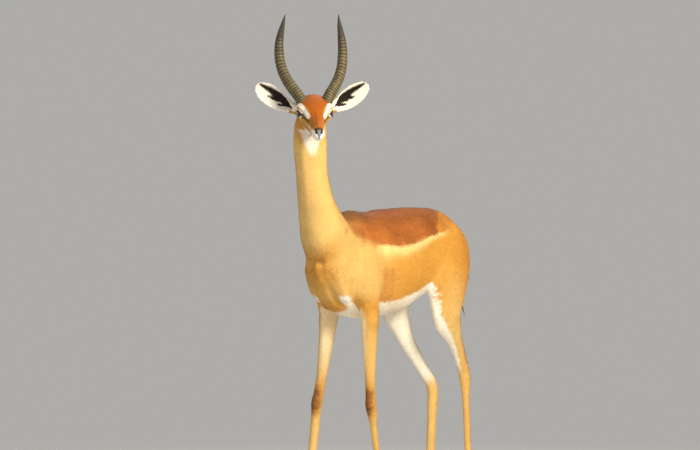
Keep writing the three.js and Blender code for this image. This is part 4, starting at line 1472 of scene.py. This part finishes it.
def horn_tree():
    """Nodes that turn a line of points into a ringed horn."""
    tree, node, given = new_tree(
        "ringed horn",
        (
            ("Sides", "Int"),
            ("Ring height", "Float"),
            ("Narrower", "Float"),
            ("Across", "Vector"),
            ("Front", "Vector"),
        ),
        (("thick", "FLOAT"), ("rise", "FLOAT"), ("middle", "FLOAT_VECTOR")),
    )
    line = node("GeometryNodeMeshToCurve", {"Mesh": given["Geometry"]}, 0)
    ring = {"Resolution": given["Sides"], "Radius": 1.0}
    ring = node("GeometryNodeCurvePrimitiveCircle", ring, 0)
    horn = {"Curve": line, "Profile Curve": ring, "Scale": given["thick"], "Fill Caps": True}
    horn = node("GeometryNodeCurveToMesh", horn, 0)
    # the rings are uneven, and highest in front
    normal = node("GeometryNodeInputNormal", give=0)
    place = node("GeometryNodeInputPosition", give=0)
    wobble = node("TexNoise", {"Vector": place, "Scale": 90.0, "Detail": 2.0}, "Fac")
    high = node("MapRange", {"Value": wobble, "To Min": 0.2, "To Max": 1.8}, 0)
    facing = node("VectorMath", {0: normal, 1: given["Front"]}, "Value", operation="DOT_PRODUCT")
    facing = {"Value": facing, "From Min": -1.0, "From Max": 0.6, "To Min": 0.3, "To Max": 1.0}
    for factor in (given["rise"], node("MapRange", facing, 0), given["Ring height"]):
        high = node("Math", {0: high, 1: factor}, 0, operation="MULTIPLY")
    shift = node("VectorMath", {0: normal, "Scale": high}, 0, operation="SCALE")
    # a horn is flatter from side to side
    across = given["Across"]
    away = node("VectorMath", {0: place, 1: given["middle"]}, 0, operation="SUBTRACT")
    away = node("VectorMath", {0: away, 1: across}, "Value", operation="DOT_PRODUCT")
    away = node("Math", {0: away, 1: given["Narrower"]}, 0, operation="MULTIPLY")
    inwards = node("VectorMath", {0: across, "Scale": away}, 0, operation="SCALE")
    shift = node("VectorMath", {0: shift, 1: inwards}, 0, operation="SUBTRACT")
    horn = node("GeometryNodeSetPosition", {"Geometry": horn, "Offset": shift}, 0)
    horn = node("GeometryNodeRealizeInstances", {0: horn}, 0)
    horn = {"Geometry": horn, "Material": given["Material"]}
    node("NodeGroupOutput", {0: node("GeometryNodeSetMaterial", horn, 0)})
    return tree


def set_inputs(modifier, values):
    """Sets a modifier's inputs, named as in its tree, by the sockets' identifiers."""
    for item in modifier.node_group.interface.items_tree:
        if item.item_type == "SOCKET" and item.in_out == "INPUT" and item.name in values:
            modifier[item.identifier] = values[item.name]


HORN_STEPS = 420
RINGED = (0.012, 0.74)  # where the rings begin and end, as shares of the horn
CREST = 0.86  # share of a ring's length that stands up, before its groove


class GERENUK_OT_horns(bpy.types.Operator):
    """Builds both horns along their bent paths, ringed below and smooth at the tips"""

    bl_idname = "gerenuk.horns"
    bl_label = "Horns"

    def execute(self, context):
        look = context.scene.gerenuk_horn
        tree = horn_tree()
        keys = np.array(HORN_PATH, float)
        t = np.linspace(0, 1, HORN_STEPS)
        turn = (t - RINGED[0]) / (RINGED[1] - RINGED[0])
        crowd = turn + 0.06 * np.sin(math.pi * turn)
        phase = (crowd * look.rings) % 1
        crest = np.sin(math.pi * np.clip(phase / CREST, 0, 1)).clip(0) ** 0.75
        wave = crest - 0.2 * np.sin(math.pi * np.clip((phase - CREST) / (1 - CREST), 0, 1))
        draw = np.random.default_rng(7).uniform(0.7, 1.15, look.rings + 2)
        each = draw[np.clip((crowd * look.rings).astype(int), 0, look.rings + 1)]
        inside = smooth(turn, -0.02, 0.02) * smooth(turn, 1.02, 0.97)
        wave = wave * each * inside * (1 - 0.55 * np.clip(turn, 0, 1) ** 2)
        for word, side in SIDES:
            line = HEAD_AT + spline(keys[:, :3] * (1, side, 1), t, True) @ LEVEL_HEAD.T
            thick = spline(keys[:, 3:], t)[:, 0] - 0.4
            steps = [(i, i + 1) for i in range(HORN_STEPS - 1)]
            mesh = bpy.data.meshes.new("horn line")
            mesh.from_pydata(to_frame(line).tolist(), steps, [])
            add_attribute(mesh, "thick", np.maximum(thick, 0.8) * 0.001)
            add_attribute(mesh, "rise", wave)
            add_attribute(mesh, "middle", to_frame(line))
            add_attribute(mesh, "crest", smooth(wave, -0.2, 0.8) * inside)
            add_attribute(mesh, "tipward", smooth(t, 0.7, 0.8))
            piece = new_object(f"ringed_horn_{word}", mesh)
            nodes = piece.modifiers.new("horn", "NODES")
            nodes.node_group = tree
            material = kept_material("ringed keratin horn", horn_nodes, look)
            sizes = {"Sides": 48, "Ring height": look.ring_height, "Narrower": 0.16}
            front, across, _ = (tuple(way) for way in HEAD.T)
            set_inputs(nodes, {**sizes, "Across": across, "Front": front, "Material": material})
            applied(piece)
            finish_closed(piece, material, [f"horn_{word}"])
        return {"FINISHED"}


CLAW = [
    # height, how far toe and heel reach, share of the width
    (0, 32.6, 20, 0.95),
    (1.2, 33.4, 20.6, 1),
    (6, 32.6, 21, 1.03),
    (14, 28.6, 20.6, 1.03),
    (24, 23.6, 19.6, 1.0),
    (36, 18.8, 18.6, 0.95),
    (50, 14.6, 17.6, 0.86),
    (56, 11, 14, 0.6),
]
# half a claw's width, how far its middle stands from the foot's middle line and ahead of the
# fetlock, and how far its toe turns in
CLAW_HALF, CLAW_MIDDLE, CLAW_AHEAD, CLAW_TURN = 9.3, 11.2, 26, 3.325


def claw_rows(foot, which):
    """Rings of one claw from the sole up into the coronet."""
    x, y = foot
    high, toe, heel, share = spline(CLAW, np.linspace(0, 1, 40)).T
    angle = 2 * math.pi * np.arange(44) / 44
    c, s = (np.sign(f(angle)) * np.abs(f(angle)) ** 0.8 for f in (np.cos, np.sin))
    taper = np.where(s > 0, s * s, 0)
    half = CLAW_HALF * share[:, None] * (1 - 0.48 * taper)
    across = x + which * CLAW_MIDDLE + c * half - which * CLAW_TURN * taper
    forward = s * np.where(s > 0, toe[:, None], heel[:, None])
    top = CORONET_Z + 9 + 0.3 * forward
    up = np.minimum(np.maximum(high, 0)[:, None] + 0 * across, top)
    return np.stack([across, y - CLAW_AHEAD - forward, up], -1)


def dewclaw_rows(foot, which):
    x, y = foot
    keys = [
        (x + which * 7, y + 8, FETLOCK_Z - 12, 5.2, 5.8, 5.8),
        (x + which * 9, y + 19.5, FETLOCK_Z - 19, 5.2, 5.4, 5.4),
        (x + which * 9.5, y + 23.5, FETLOCK_Z - 28, 3.8, 3.8, 3.8),
        (x + which * 9.5, y + 24, FETLOCK_Z - 32, 2.2, 2.2, 2.2),
    ]
    return sweep(keys, 16, 20, FORE)


class GERENUK_OT_hooves(bpy.types.Operator):
    """Builds the two claws and two dew claws of each foot"""

    bl_idname = "gerenuk.hooves"
    bl_label = "Hooves"

    def execute(self, context):
        for name, stance in STANCES.items():
            foot = stance["foot"]
            forms, nodes = [], []
            for word, which in SIDES:
                forms += [closed_faces(rows(foot, which)) for rows in (claw_rows, dewclaw_rows)]
                nodes += [f"hoof_{name}_{word}", f"dewclaw_{name}_{word}"]
            piece = new_object(f"hooves_{name}", new_mesh("hooves", *joined(forms)))
            finish_closed(piece, kept_material("black hoof horn", hoof_nodes), nodes)
        return {"FINISHED"}


# Coat.

BLADES = {
    # blades of one tuft, segments of a blade, spread of their roots, share of the width
    "tuft": (4, 2, 0.85, 0.42),
    "lock": (5, 6, 0.7, 0.5),
    "hair": (1, 4, 0.0, 1.0),
}


def blade_forms(kind, variants, seed):
    """A few meshes of one tuft each, of unit length along x, unit width along y and unit rise
    along z, kept in a collection that isn't part of the scene."""
    blades, steps, spread, share = BLADES[kind]
    draw = np.random.default_rng(seed)
    forms = bpy.data.collections.new(f"{kind} forms")
    for number in range(variants):
        points, faces, tips, patch = [], [], [], []
        for blade in range(blades):
            middle = (blade + 0.5) / blades - 0.5
            root = np.array((draw.uniform(-0.22, 0.18) * (blades > 1), middle * spread, 0.0))
            length = draw.uniform(0.72, 1.0)
            drift = middle * 0.5 + draw.uniform(-0.3, 0.3)
            rise = draw.uniform(0.55, 1.0)
            start = len(points)
            for step in range(steps + 1):
                t = step / steps
                half = share / 2 * (1 - t) ** 0.6 * (0.75 + 0.9 * t)
                sag = rise * (0.8 * math.sin(math.pi * t) + 0.35 * t) - 0.25 * (1 - t)
                spot = root + (t * length, drift * t * t * 0.6, sag)
                for edge in (-1, 1) if step < steps else (0,):
                    points.append(spot + (0, edge * half, -0.12 * abs(edge) * rise))
                    tips.append(t)
                    patch.append((0.5 + middle + edge * share / 2, t, 0))
            for step in range(steps - 1):
                a = start + 2 * step
                faces.append((a, a + 2, a + 3, a + 1))
            a = start + 2 * (steps - 1)
            faces.append((a, a + 2, a + 1))
        mesh = bpy.data.meshes.new(f"{kind} {number}")
        mesh.from_pydata([tuple(p) for p in points], [], faces)
        add_attribute(mesh, "tipward", tips)
        add_attribute(mesh, "patch", patch)
        forms.objects.link(bpy.data.objects.new(f"{kind} {number}", mesh))
    return forms


def coat_tree():
    """Nodes that set a tuft on each point, turned, sized and coloured as the point says, with the
    tuft's patch of the map at its root's place."""
    name = "tufts on the hide"
    if name in bpy.data.node_groups:
        return bpy.data.node_groups[name]
    vectors = [(key, "FLOAT_VECTOR") for key in ("turn", "size", "patch", "root_map")]
    tree, node, given = new_tree(
        name, (("Forms", "Collection"), ("Patch size", "Float")), (("form", "INT"), *vectors)
    )
    forms = {"Collection": given["Forms"], "Separate Children": True, "Reset Children": True}
    tufts = {
        "Points": given["Geometry"],
        "Instance": node("GeometryNodeCollectionInfo", forms, 0),
        "Pick Instance": True,
        "Instance Index": given["form"],
        "Rotation": node("FunctionNodeEulerToRotation", {0: given["turn"]}, 0),
        "Scale": given["size"],
    }
    tufts = node("GeometryNodeInstanceOnPoints", tufts, 0)
    tufts = node("GeometryNodeRealizeInstances", {0: tufts}, 0)
    spot = node("VectorMath", {0: given["patch"], 1: (0.5, 0.5, 0.0)}, 0, operation="SUBTRACT")
    spot = node("VectorMath", {0: spot, "Scale": given["Patch size"]}, 0, operation="SCALE")
    spot = node("VectorMath", {0: spot, 1: given["root_map"]}, 0)
    tufts = {"Geometry": tufts, "Name": "OFBake", "Value": spot}
    tufts = node(
        "GeometryNodeStoreNamedAttribute", tufts, 0, data_type="FLOAT2", domain="CORNER"
    )
    tufts = {"Geometry": tufts, "Material": given["Material"]}
    node("NodeGroupOutput", {0: node("GeometryNodeSetMaterial", tufts, 0)})
    return tree


def euler_of(x, y, z):
    """The Euler angles of turns whose axes are x, y and z."""
    tilt = np.arcsin(np.clip(-x[:, 2], -1, 1))
    return np.stack([np.arctan2(y[:, 2], z[:, 2]), tilt, np.arctan2(x[:, 1], x[:, 0])], 1)


def set_tufts(name, forms, roots, normals, ways, sizes, colours, spots, lit=0.85):
    """A piece of tufts. ways is the direction of each, sizes its length, width and rise in
    millimetres, spots its root's place on the map, and lit how far it is shaded as the skin."""
    count = len(roots)
    draw = np.random.default_rng(count)
    x = unit(ways - normals * np.sum(ways * normals, 1, keepdims=True))
    y = np.cross(normals, x)
    sway = draw.normal(0, 0.16, (count, 1))
    x = unit(x + y * sway)
    y = np.cross(normals, x)
    mesh = bpy.data.meshes.new(name)
    mesh.from_pydata(to_frame(roots).tolist(), [], [])
    add_attribute(mesh, "turn", euler_of(x, y, normals))
    add_attribute(mesh, "size", np.asarray(sizes) * 0.001)
    add_attribute(mesh, "fur_colour", with_alpha(colours))
    add_attribute(mesh, "root_map", np.hstack([spots, spots[:, :1] * 0]))
    add_attribute(mesh, "root_normal", normals)
    form = mesh.attributes.new("form", "INT", "POINT")
    form.data.foreach_set("value", draw.integers(0, len(forms.objects), count).astype(np.int32))
    piece = new_object(name, mesh)
    nodes = piece.modifiers.new("tufts", "NODES")
    nodes.node_group = coat_tree()
    material = kept_material("tufts of short antelope hair", coat_nodes)
    set_inputs(nodes, {"Forms": forms, "Patch size": 0.003, "Material": material})
    mesh = applied(piece)
    mesh.shade_smooth()
    own = normals_of(mesh)
    root = numbers(mesh.attributes["root_normal"].data, "vector", 3).astype(float)
    own *= np.where(np.sum(own * root, 1, keepdims=True) < 0, -1, 1)
    mesh.normals_split_custom_set_from_vertices(unit(own * (1 - lit) + root * lit).tolist())
    for key in ("root_normal", "root_map", "turn", "size", "form", "patch"):
        if key in mesh.attributes:
            mesh.attributes.remove(mesh.attributes[key])
    mesh.uv_layers["OFBake"].active_render = True
    return finish_piece(piece)


def lie_of(points, part):
    """The direction in which the coat lies, not yet level with the skin."""
    x, y, z = points.T
    trunk, head = (w[:, None] for w in lie_weights(points))
    out = np.sign(x)[:, None] * smooth(np.abs(x), 0, 60)[:, None]
    along = np.array((0.0, 1.0, -0.28)) + out * (0.12, 0, 0)
    chest = smooth(y, -290, -350)[:, None] * trunk
    along = along * (1 - chest) + np.array((0, 0.35, -1)) * chest
    haunch = (smooth(y, 150, 300) * smooth(z, 900, 760))[:, None]
    along = along * (1 - haunch) + np.array((0, 0.4, -1)) * haunch
    down = np.array((0.0, 0.12, -1.0))
    _, l, _ = to_head(points).T
    back = np.array((-1.0, 0, -0.14)) + np.stack([0 * l, 0.35 * np.tanh(l / 30), 0 * l], 1)
    ways = along * trunk + down * (1 - trunk)
    ways = ways * (1 - head) + (back @ HEAD.T) * head
    for number, (_, side) in enumerate(SIDES):
        here = part == EAR_RIGHT + number
        root, tip, face = ear_axes(side)
        share, rise, _ = ear_place(points[here], side)
        axis = unit(tip - root)
        up = unit(np.cross(axis, face)) * -side
        ways[here] = axis + up * (rise / 60 * smooth(share, 1.1, 0.5))[:, None]
    ways[part == TAIL_PART] = (0, 0, -1)
    return unit(ways)


MARGIN, INNER = 0.03, 0.94  # bare edge of the map, and the share of it inside that edge


def map_places(points, normals, part):
    """Each root's place on an unwrap of its own part: round it and along it."""
    x, y, z = points.T
    spots = np.zeros((len(points), 2))

    def wrap(here, a, b, along, low, high):
        spots[here, 0] = MARGIN + INNER * (np.arctan2(a, b)[here] / (2 * math.pi) + 0.5)
        spots[here, 1] = MARGIN + INNER * np.clip((along[here] - low) / (high - low), 0, 1)

    wrap(part == TORSO, x, z - 780, y, -400, 345)
    wrap(part == NECK_PART, *(points.T[:2] - axis_at(z, NECK)), z, 860, 1240)
    f, l, u = to_head(points).T
    wrap(part == HEAD_PART, l, u + 20, f, -115, 140)
    for number, name in enumerate(STANCES):
        off = points.T[:2] - axis_at(z, leg_stations(name))
        wrap(part == FIRST_LEG + number, *off, z, 20, 700)
    wrap(part == TAIL_PART, x, y - dock_back(z), z, 640, 850)
    for number, (_, side) in enumerate(SIDES):
        here = part == EAR_RIGHT + number
        share, rise, _ = ear_place(points[here], side)
        inside = (normals[here] @ ear_axes(side)[2] > 0).astype(float)
        across = (np.clip(rise / 90, -0.45, 0.45) + 0.5) * 0.44
        spots[here, 0] = MARGIN + 0.48 * inside + across
        spots[here, 1] = MARGIN + 0.45 * number + 0.42 * np.clip(share, 0, 1)
    return spots


COAT = {
    # part: tufts, then the length, width and rise of one in millimetres
    "torso": (26000, 12.0, 3.9, 0.9),
    "neck": (13000, 10.0, 3.4, 0.8),
    "head": (14000, 5.4, 2.1, 0.7),
    "ear_right": (3800, 3.8, 1.8, 0.6),
    "ear_left": (3800, 3.8, 1.8, 0.6),
    "leg_front_right": (8500, 7.0, 2.7, 0.75),
    "leg_front_left": (8500, 7.0, 2.7, 0.75),
    "leg_hind_right": (9500, 7.5, 2.9, 0.8),
    "leg_hind_left": (9500, 7.5, 2.9, 0.8),
    "tail": (1600, 14.0, 3.6, 3.0),
}


class GERENUK_OT_coat(bpy.types.Operator):
    """Sets tufts of short hair over the hide, part by part"""

    bl_idname = "gerenuk.coat"
    bl_label = "Coat"

    def execute(self, context):
        hide = bpy.data.objects.get("hide")
        if hide is None:
            raise RuntimeError("the hide comes before the coat")
        mesh = hide.data
        mesh.calc_loop_triangles()
        corners = numbers(mesh.loop_triangles, "vertices", 3, np.int32)
        points, normals = points_of(mesh), normals_of(mesh)
        bare = numbers(mesh.attributes["bare"].data, "value", 1)
        a, b, c = (points[corners[:, i]] for i in range(3))
        area = np.linalg.norm(np.cross(b - a, c - a), axis=1) / 2
        centre = (a + b + c) / 3
        part = parts_of(centre)
        area = area * (bare[corners].max(1) < 0.3) * (centre[:, 2] > CORONET_Z - 8)
        draw = np.random.default_rng(11)
        share = 1.0
        forms = blade_forms("tuft", 6, 5)
        for number, key in enumerate(PARTS):
            count, *size = COAT[key]
            count = int(count * share)
            weight = area * (part == number)
            if key == "head":
                # the muzzle and the rims of the eyes carry the shortest and closest tufts
                weight = weight * (1 + 0.8 * smooth(to_head(centre)[:, 0], 40, 110))
            steps = np.cumsum(weight)
            picks = (np.arange(count) + draw.uniform(0, 1, count)) / count * steps[-1]
            face = np.searchsorted(steps, picks).clip(0, len(steps) - 1)
            p, q = draw.uniform(0, 1, (2, count))
            flip = p + q > 1
            p, q = np.where(flip, 1 - p, p), np.where(flip, 1 - q, q)
            mix = np.stack([1 - p - q, p, q], 1)[..., None]
            roots = (points[corners[face]] * mix).sum(1)
            upright = unit((normals[corners[face]] * mix).sum(1))
            colours, _, _ = markings(roots, upright)
            colours = colours * draw.normal(1, 0.055, (count, 1))
            scale = tuft_scale(roots, upright, number) * draw.uniform(0.75, 1.2, count)
            sizes = scale[:, None] * size
            sizes[:, 2] *= draw.uniform(0.5, 1.3, count) / np.sqrt(scale.clip(0.5))
            ways = lie_of(roots, np.full(count, number))
            spots = map_places(roots, upright, np.full(count, number))
            groups = ((f"coat_{key}", np.full(count, True)),)
            if key == "torso":
                right = roots[:, 0] < 0
                groups = (("coat_torso_right", right), ("coat_torso_left", ~right))
            for name, here in groups:
                set_tufts(
                    name, forms, roots[here] - upright[here] * 0.3, upright[here], ways[here],
                    sizes[here], np.clip(colours[here], 0, 1), spots[here],
                )
        drop_forms(forms)
        return {"FINISHED"}


def tuft_scale(points, normals, number):
    """How much longer or shorter than usual the tufts of a part are."""
    x, y, z = points.T
    f, _, u = to_head(points).T
    scale = np.ones(len(points))
    if number == TORSO:
        scale += 0.35 * smooth(z, 700, 640) + 0.3 * smooth(y, 270, 320)
        scale += 0.25 * smooth(y, -300, -380)
        scale += 0.25 * smooth(np.abs(x), 22, 6) * smooth(z, 900, 930)
    elif number == NECK_PART:
        scale += 0.25 * smooth(normals[:, 1], 0.6, 0.95) - 0.2 * smooth(z, 1000, 1160)
    elif number == HEAD_PART:
        scale *= 1 - 0.45 * smooth(f, 20, 100)
        poll = [in_head((-50, 0, 46)), in_head((-20, 0, 44))]
        scale += 0.9 * smooth(near_path(points, poll, 34), 1, 0)
        scale += 0.35 * smooth(u, -50, -75) * smooth(f, 30, -20)
        for _, side in SIDES:
            gap = np.linalg.norm(points - eye_frame(side)[0], axis=1)
            scale *= 1 - 0.45 * smooth(gap, 27, 21)
    elif number in (EAR_RIGHT, EAR_LEFT):
        side = SIDES[number - EAR_RIGHT][1]
        share, _, ahead = ear_place(points, side)
        scale += 0.8 * smooth(ahead, 0, 8) * smooth(share, 0.6, 0.2)
        scale *= 0.6 + 0.4 * smooth(np.abs(normals @ ear_axes(side)[2]), 0.3, 0.8)
    elif number == TAIL_PART:
        scale += 1.2 * smooth(z, 780, 690)
    else:
        scale *= 1 - 0.35 * smooth(z, 420, 120)
        scale += 0.3 * smooth(z, 560, 640)
        if number >= FIRST_LEG + 2:
            scale += 0.25 * smooth(normals[:, 1], 0.4, 0.9) * smooth(z, 400, 520)
    return scale


def drop_forms(forms):
    """Removes the small meshes that the tufts were copied from."""
    for form in list(forms.objects):
        mesh = form.data
        bpy.data.objects.remove(form)
        bpy.data.meshes.remove(mesh)
    bpy.data.collections.remove(forms)


class GERENUK_OT_tail_tuft(bpy.types.Operator):
    """Builds the dark tuft of long locks at the end of the tail"""

    bl_idname = "gerenuk.tail_tuft"
    bl_label = "Tail tuft"

    def execute(self, context):
        look = context.scene.gerenuk_hide
        draw = np.random.default_rng(21)
        count = 150
        z = draw.uniform(652, 772, count)
        angle = draw.uniform(0, 2 * math.pi, count)
        out = np.stack([np.cos(angle), np.sin(angle), 0 * angle], 1)
        wide = np.interp(z, (655, 690, 735, 780), (5, 7.5, 8.5, 10))
        roots = np.stack([0 * z, dock_back(z), z], 1) + out * (wide * 0.75)[:, None]
        length = np.interp(z, (652, 700, 772), (92, 84, 66)) * draw.uniform(0.7, 1.08, count)
        sizes = np.stack([length, draw.uniform(4.5, 7.5, count), draw.uniform(2, 7, count)], 1)
        ways = np.array((0, -0.2, -1)) + draw.normal(0, 0.05, (count, 3))
        colours = np.array(look.brown) * draw.uniform(0.5, 1.5, (count, 1))
        spots = np.stack([MARGIN + INNER * angle / (2 * math.pi), (z - 640) / 140], 1)
        forms = blade_forms("lock", 5, 9)
        set_tufts("tail_tuft", forms, roots, out, ways, sizes, colours, spots, 0.55)
        drop_forms(forms)
        return {"FINISHED"}


class GERENUK_OT_lashes(bpy.types.Operator):
    """Builds the eyelashes and the whiskers of the lips and chin"""

    bl_idname = "gerenuk.lashes"
    bl_label = "Lashes and whiskers"

    def execute(self, context):
        look = context.scene.gerenuk_hide
        draw = np.random.default_rng(31)
        roots, normals, ways, sizes = [], [], [], []
        for _, side in SIDES:
            centre, turn = eye_frame(side)
            for y, upper in [(y, 1) for y in np.linspace(-12, 12.4, 46)] + [
                (y, -1) for y in np.linspace(-9, 10, 18)
            ]:
                y += draw.normal(0, 0.25)
                lid = LID_UP if upper > 0 else LID_DOWN
                lid = lid * max(1 - (y / LID_HALF) ** 2, 0) ** LID_CURVE
                spot = np.array((0, y, upper * (lid + 0.9)))
                spot[0] = math.sqrt(max(19.1**2 - spot[1] ** 2 - spot[2] ** 2, 1))
                way = np.array((1.0, 0.35 * y / 12, 0.2 * upper))
                up = unit((0, 0.2 * y / 12, upper))
                roots.append(centre + turn @ spot)
                ways.append(turn @ way)
                normals.append(turn @ up)
                long = 9.5 if upper > 0 else 4.5
                sizes.append((long * draw.uniform(0.8, 1.1), 0.55, 3.2 * draw.uniform(0.7, 1.2)))
            for _ in range(12):
                f, u = draw.uniform(92, 124), draw.uniform(-60, -36)
                half = np.interp(f, (92, 112, 127), (21, 20, 15.5))
                spot = (f, side * half * (1 - 0.22 * abs(u + 42) / 20), u)
                roots.append(in_head(spot))
                out = HEAD @ unit((0.35, side * 1.0, -0.35))
                normals.append(HEAD @ unit((0.9, -side * 0.3, 0.1)))
                ways.append(out)
                sizes.append((draw.uniform(8, 15), 0.3, draw.uniform(-3, 2)))
        roots, normals, ways, sizes = (np.array(v, float) for v in (roots, normals, ways, sizes))
        normals = unit(normals - unit(ways) * np.sum(normals * unit(ways), 1, keepdims=True))
        colours = np.tile(np.array(look.brown) * 0.4, (len(roots), 1))
        spots = draw.uniform(MARGIN, 1 - MARGIN, (len(roots), 2))
        forms = blade_forms("hair", 3, 13)
        set_tufts("lashes", forms, roots, normals, ways, sizes, colours, spots, 0)
        drop_forms(forms)
        return {"FINISHED"}


LIGHTS = (
    # azimuth and elevation, distance, size, power, tint
    ("key", 76, 31, 3.4, 1.0, 138, "FFF1D8"),
    ("fill", 14, 14, 3.8, 2.6, 24, "F4F6FF"),
    ("rim", 205, 46, 3.6, 1.6, 34, "FFFFFF"),
)
LIT_MIDDLE = (0.0, 0.0, 0.8)
FLOOR_RINGS = (0.001, 1, 2, 3.5)
# the middle of the picture, right of and above the origin in metres
AIM_RIGHT, AIM_UP, CAMERA_AWAY = -0.1398, 0.8913, 30


def way_out(azimuth, elevation):
    """The direction from the animal to a lamp or the camera."""
    flat = math.cos(elevation)
    return Vector((math.sin(azimuth) * flat, -math.cos(azimuth) * flat, math.sin(elevation)))


class GERENUK_OT_stage(bpy.types.Operator):
    """Sets the floor, the lights and the camera"""

    bl_idname = "gerenuk.stage"
    bl_label = "Stage"

    def execute(self, context):
        look = context.scene.gerenuk_stage
        scene = context.scene
        world = bpy.data.worlds.new("studio")
        scene.world = world
        world.use_nodes = True
        sky = next(n for n in world.node_tree.nodes if n.type == "BACKGROUND").inputs
        sky["Color"].default_value, sky["Strength"].default_value = (*linear("EDEBE6"), 1), 0.5
        # the standard view shows each hex colour as it is given
        scene.view_settings.view_transform = "Standard"

        turn = 2 * math.pi * np.arange(64) / 64
        circle = np.stack([np.cos(turn), np.sin(turn), 0 * turn], 1)
        points, faces = closed_faces(np.array([circle * radius for radius in FLOOR_RINGS]))
        mesh = bpy.data.meshes.new("floor")
        mesh.from_pydata(points.tolist(), [], faces[:-1])
        floor = new_object("floor", mesh)
        mesh.materials.append(kept_material("matt studio floor", floor_nodes, look))
        floor.location.z = -0.0005

        for name, azimuth, elevation, distance, size, power, tint in LIGHTS:
            data = bpy.data.lights.new(name, "AREA")
            data.size, data.energy, data.color = size, power, tuple(linear(tint))
            lamp = bpy.data.objects.new(name, data)
            scene.collection.objects.link(lamp)
            way = way_out(math.radians(azimuth), math.radians(elevation))
            lamp.location = Vector(LIT_MIDDLE) + way * distance
            lamp.rotation_euler = way.to_track_quat("Z", "Y").to_euler()

        back = way_out(look.azimuth, look.elevation)
        right = Vector((math.cos(look.azimuth), math.sin(look.azimuth), 0))
        up = back.cross(right)
        aim = Vector(to_frame(np.zeros(3)).tolist()) + right * AIM_RIGHT + up * AIM_UP
        data = bpy.data.cameras.new("camera")
        data.lens, data.sensor_width, data.clip_end = look.lens, 36, 200
        turned = Matrix((right, up, back)).transposed().to_4x4()
        camera = bpy.data.objects.new("camera", data)
        scene.collection.objects.link(camera)
        camera.matrix_world = Matrix.Translation(aim + back * CAMERA_AWAY) @ turned
        scene.camera = camera
        return {"FINISHED"}


class GERENUK_PT_panel(bpy.types.Panel):
    """Lists the sizes, the colours and the operators"""

    bl_idname = "GERENUK_PT_panel"
    bl_label = "Gerenuk ram"
    bl_space_type = "VIEW_3D"
    bl_region_type = "UI"
    bl_category = "Gerenuk"

    def draw(self, context):
        for key in SETTINGS:
            box, group = self.layout.box(), getattr(context.scene, key)
            for setting in group.__annotations__:
                box.prop(group, setting)
        for step in STEPS:
            self.layout.operator(step.bl_idname)


SETTINGS = {
    "gerenuk_hide": GerenukHide,
    "gerenuk_horn": GerenukHorn,
    "gerenuk_stage": GerenukStage,
}
STEPS = (
    GERENUK_OT_stage,
    GERENUK_OT_hide,
    GERENUK_OT_eyes,
    GERENUK_OT_horns,
    GERENUK_OT_hooves,
    GERENUK_OT_coat,
    GERENUK_OT_tail_tuft,
    GERENUK_OT_lashes,
)
CLASSES = (*SETTINGS.values(), *STEPS, GERENUK_PT_panel)


def register():
    for cls in CLASSES:
        bpy.utils.register_class(cls)
    for key, cls in SETTINGS.items():
        setattr(bpy.types.Scene, key, PointerProperty(type=cls))


def unregister():
    for key in SETTINGS:
        delattr(bpy.types.Scene, key)
    for cls in reversed(CLASSES):
        bpy.utils.unregister_class(cls)


def main():
    """Builds every piece in order."""
    register()
    for step in STEPS:
        group, name = step.bl_idname.split(".")
        getattr(getattr(bpy.ops, group), name)()
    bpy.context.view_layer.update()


if __name__ == "__main__":
    main()
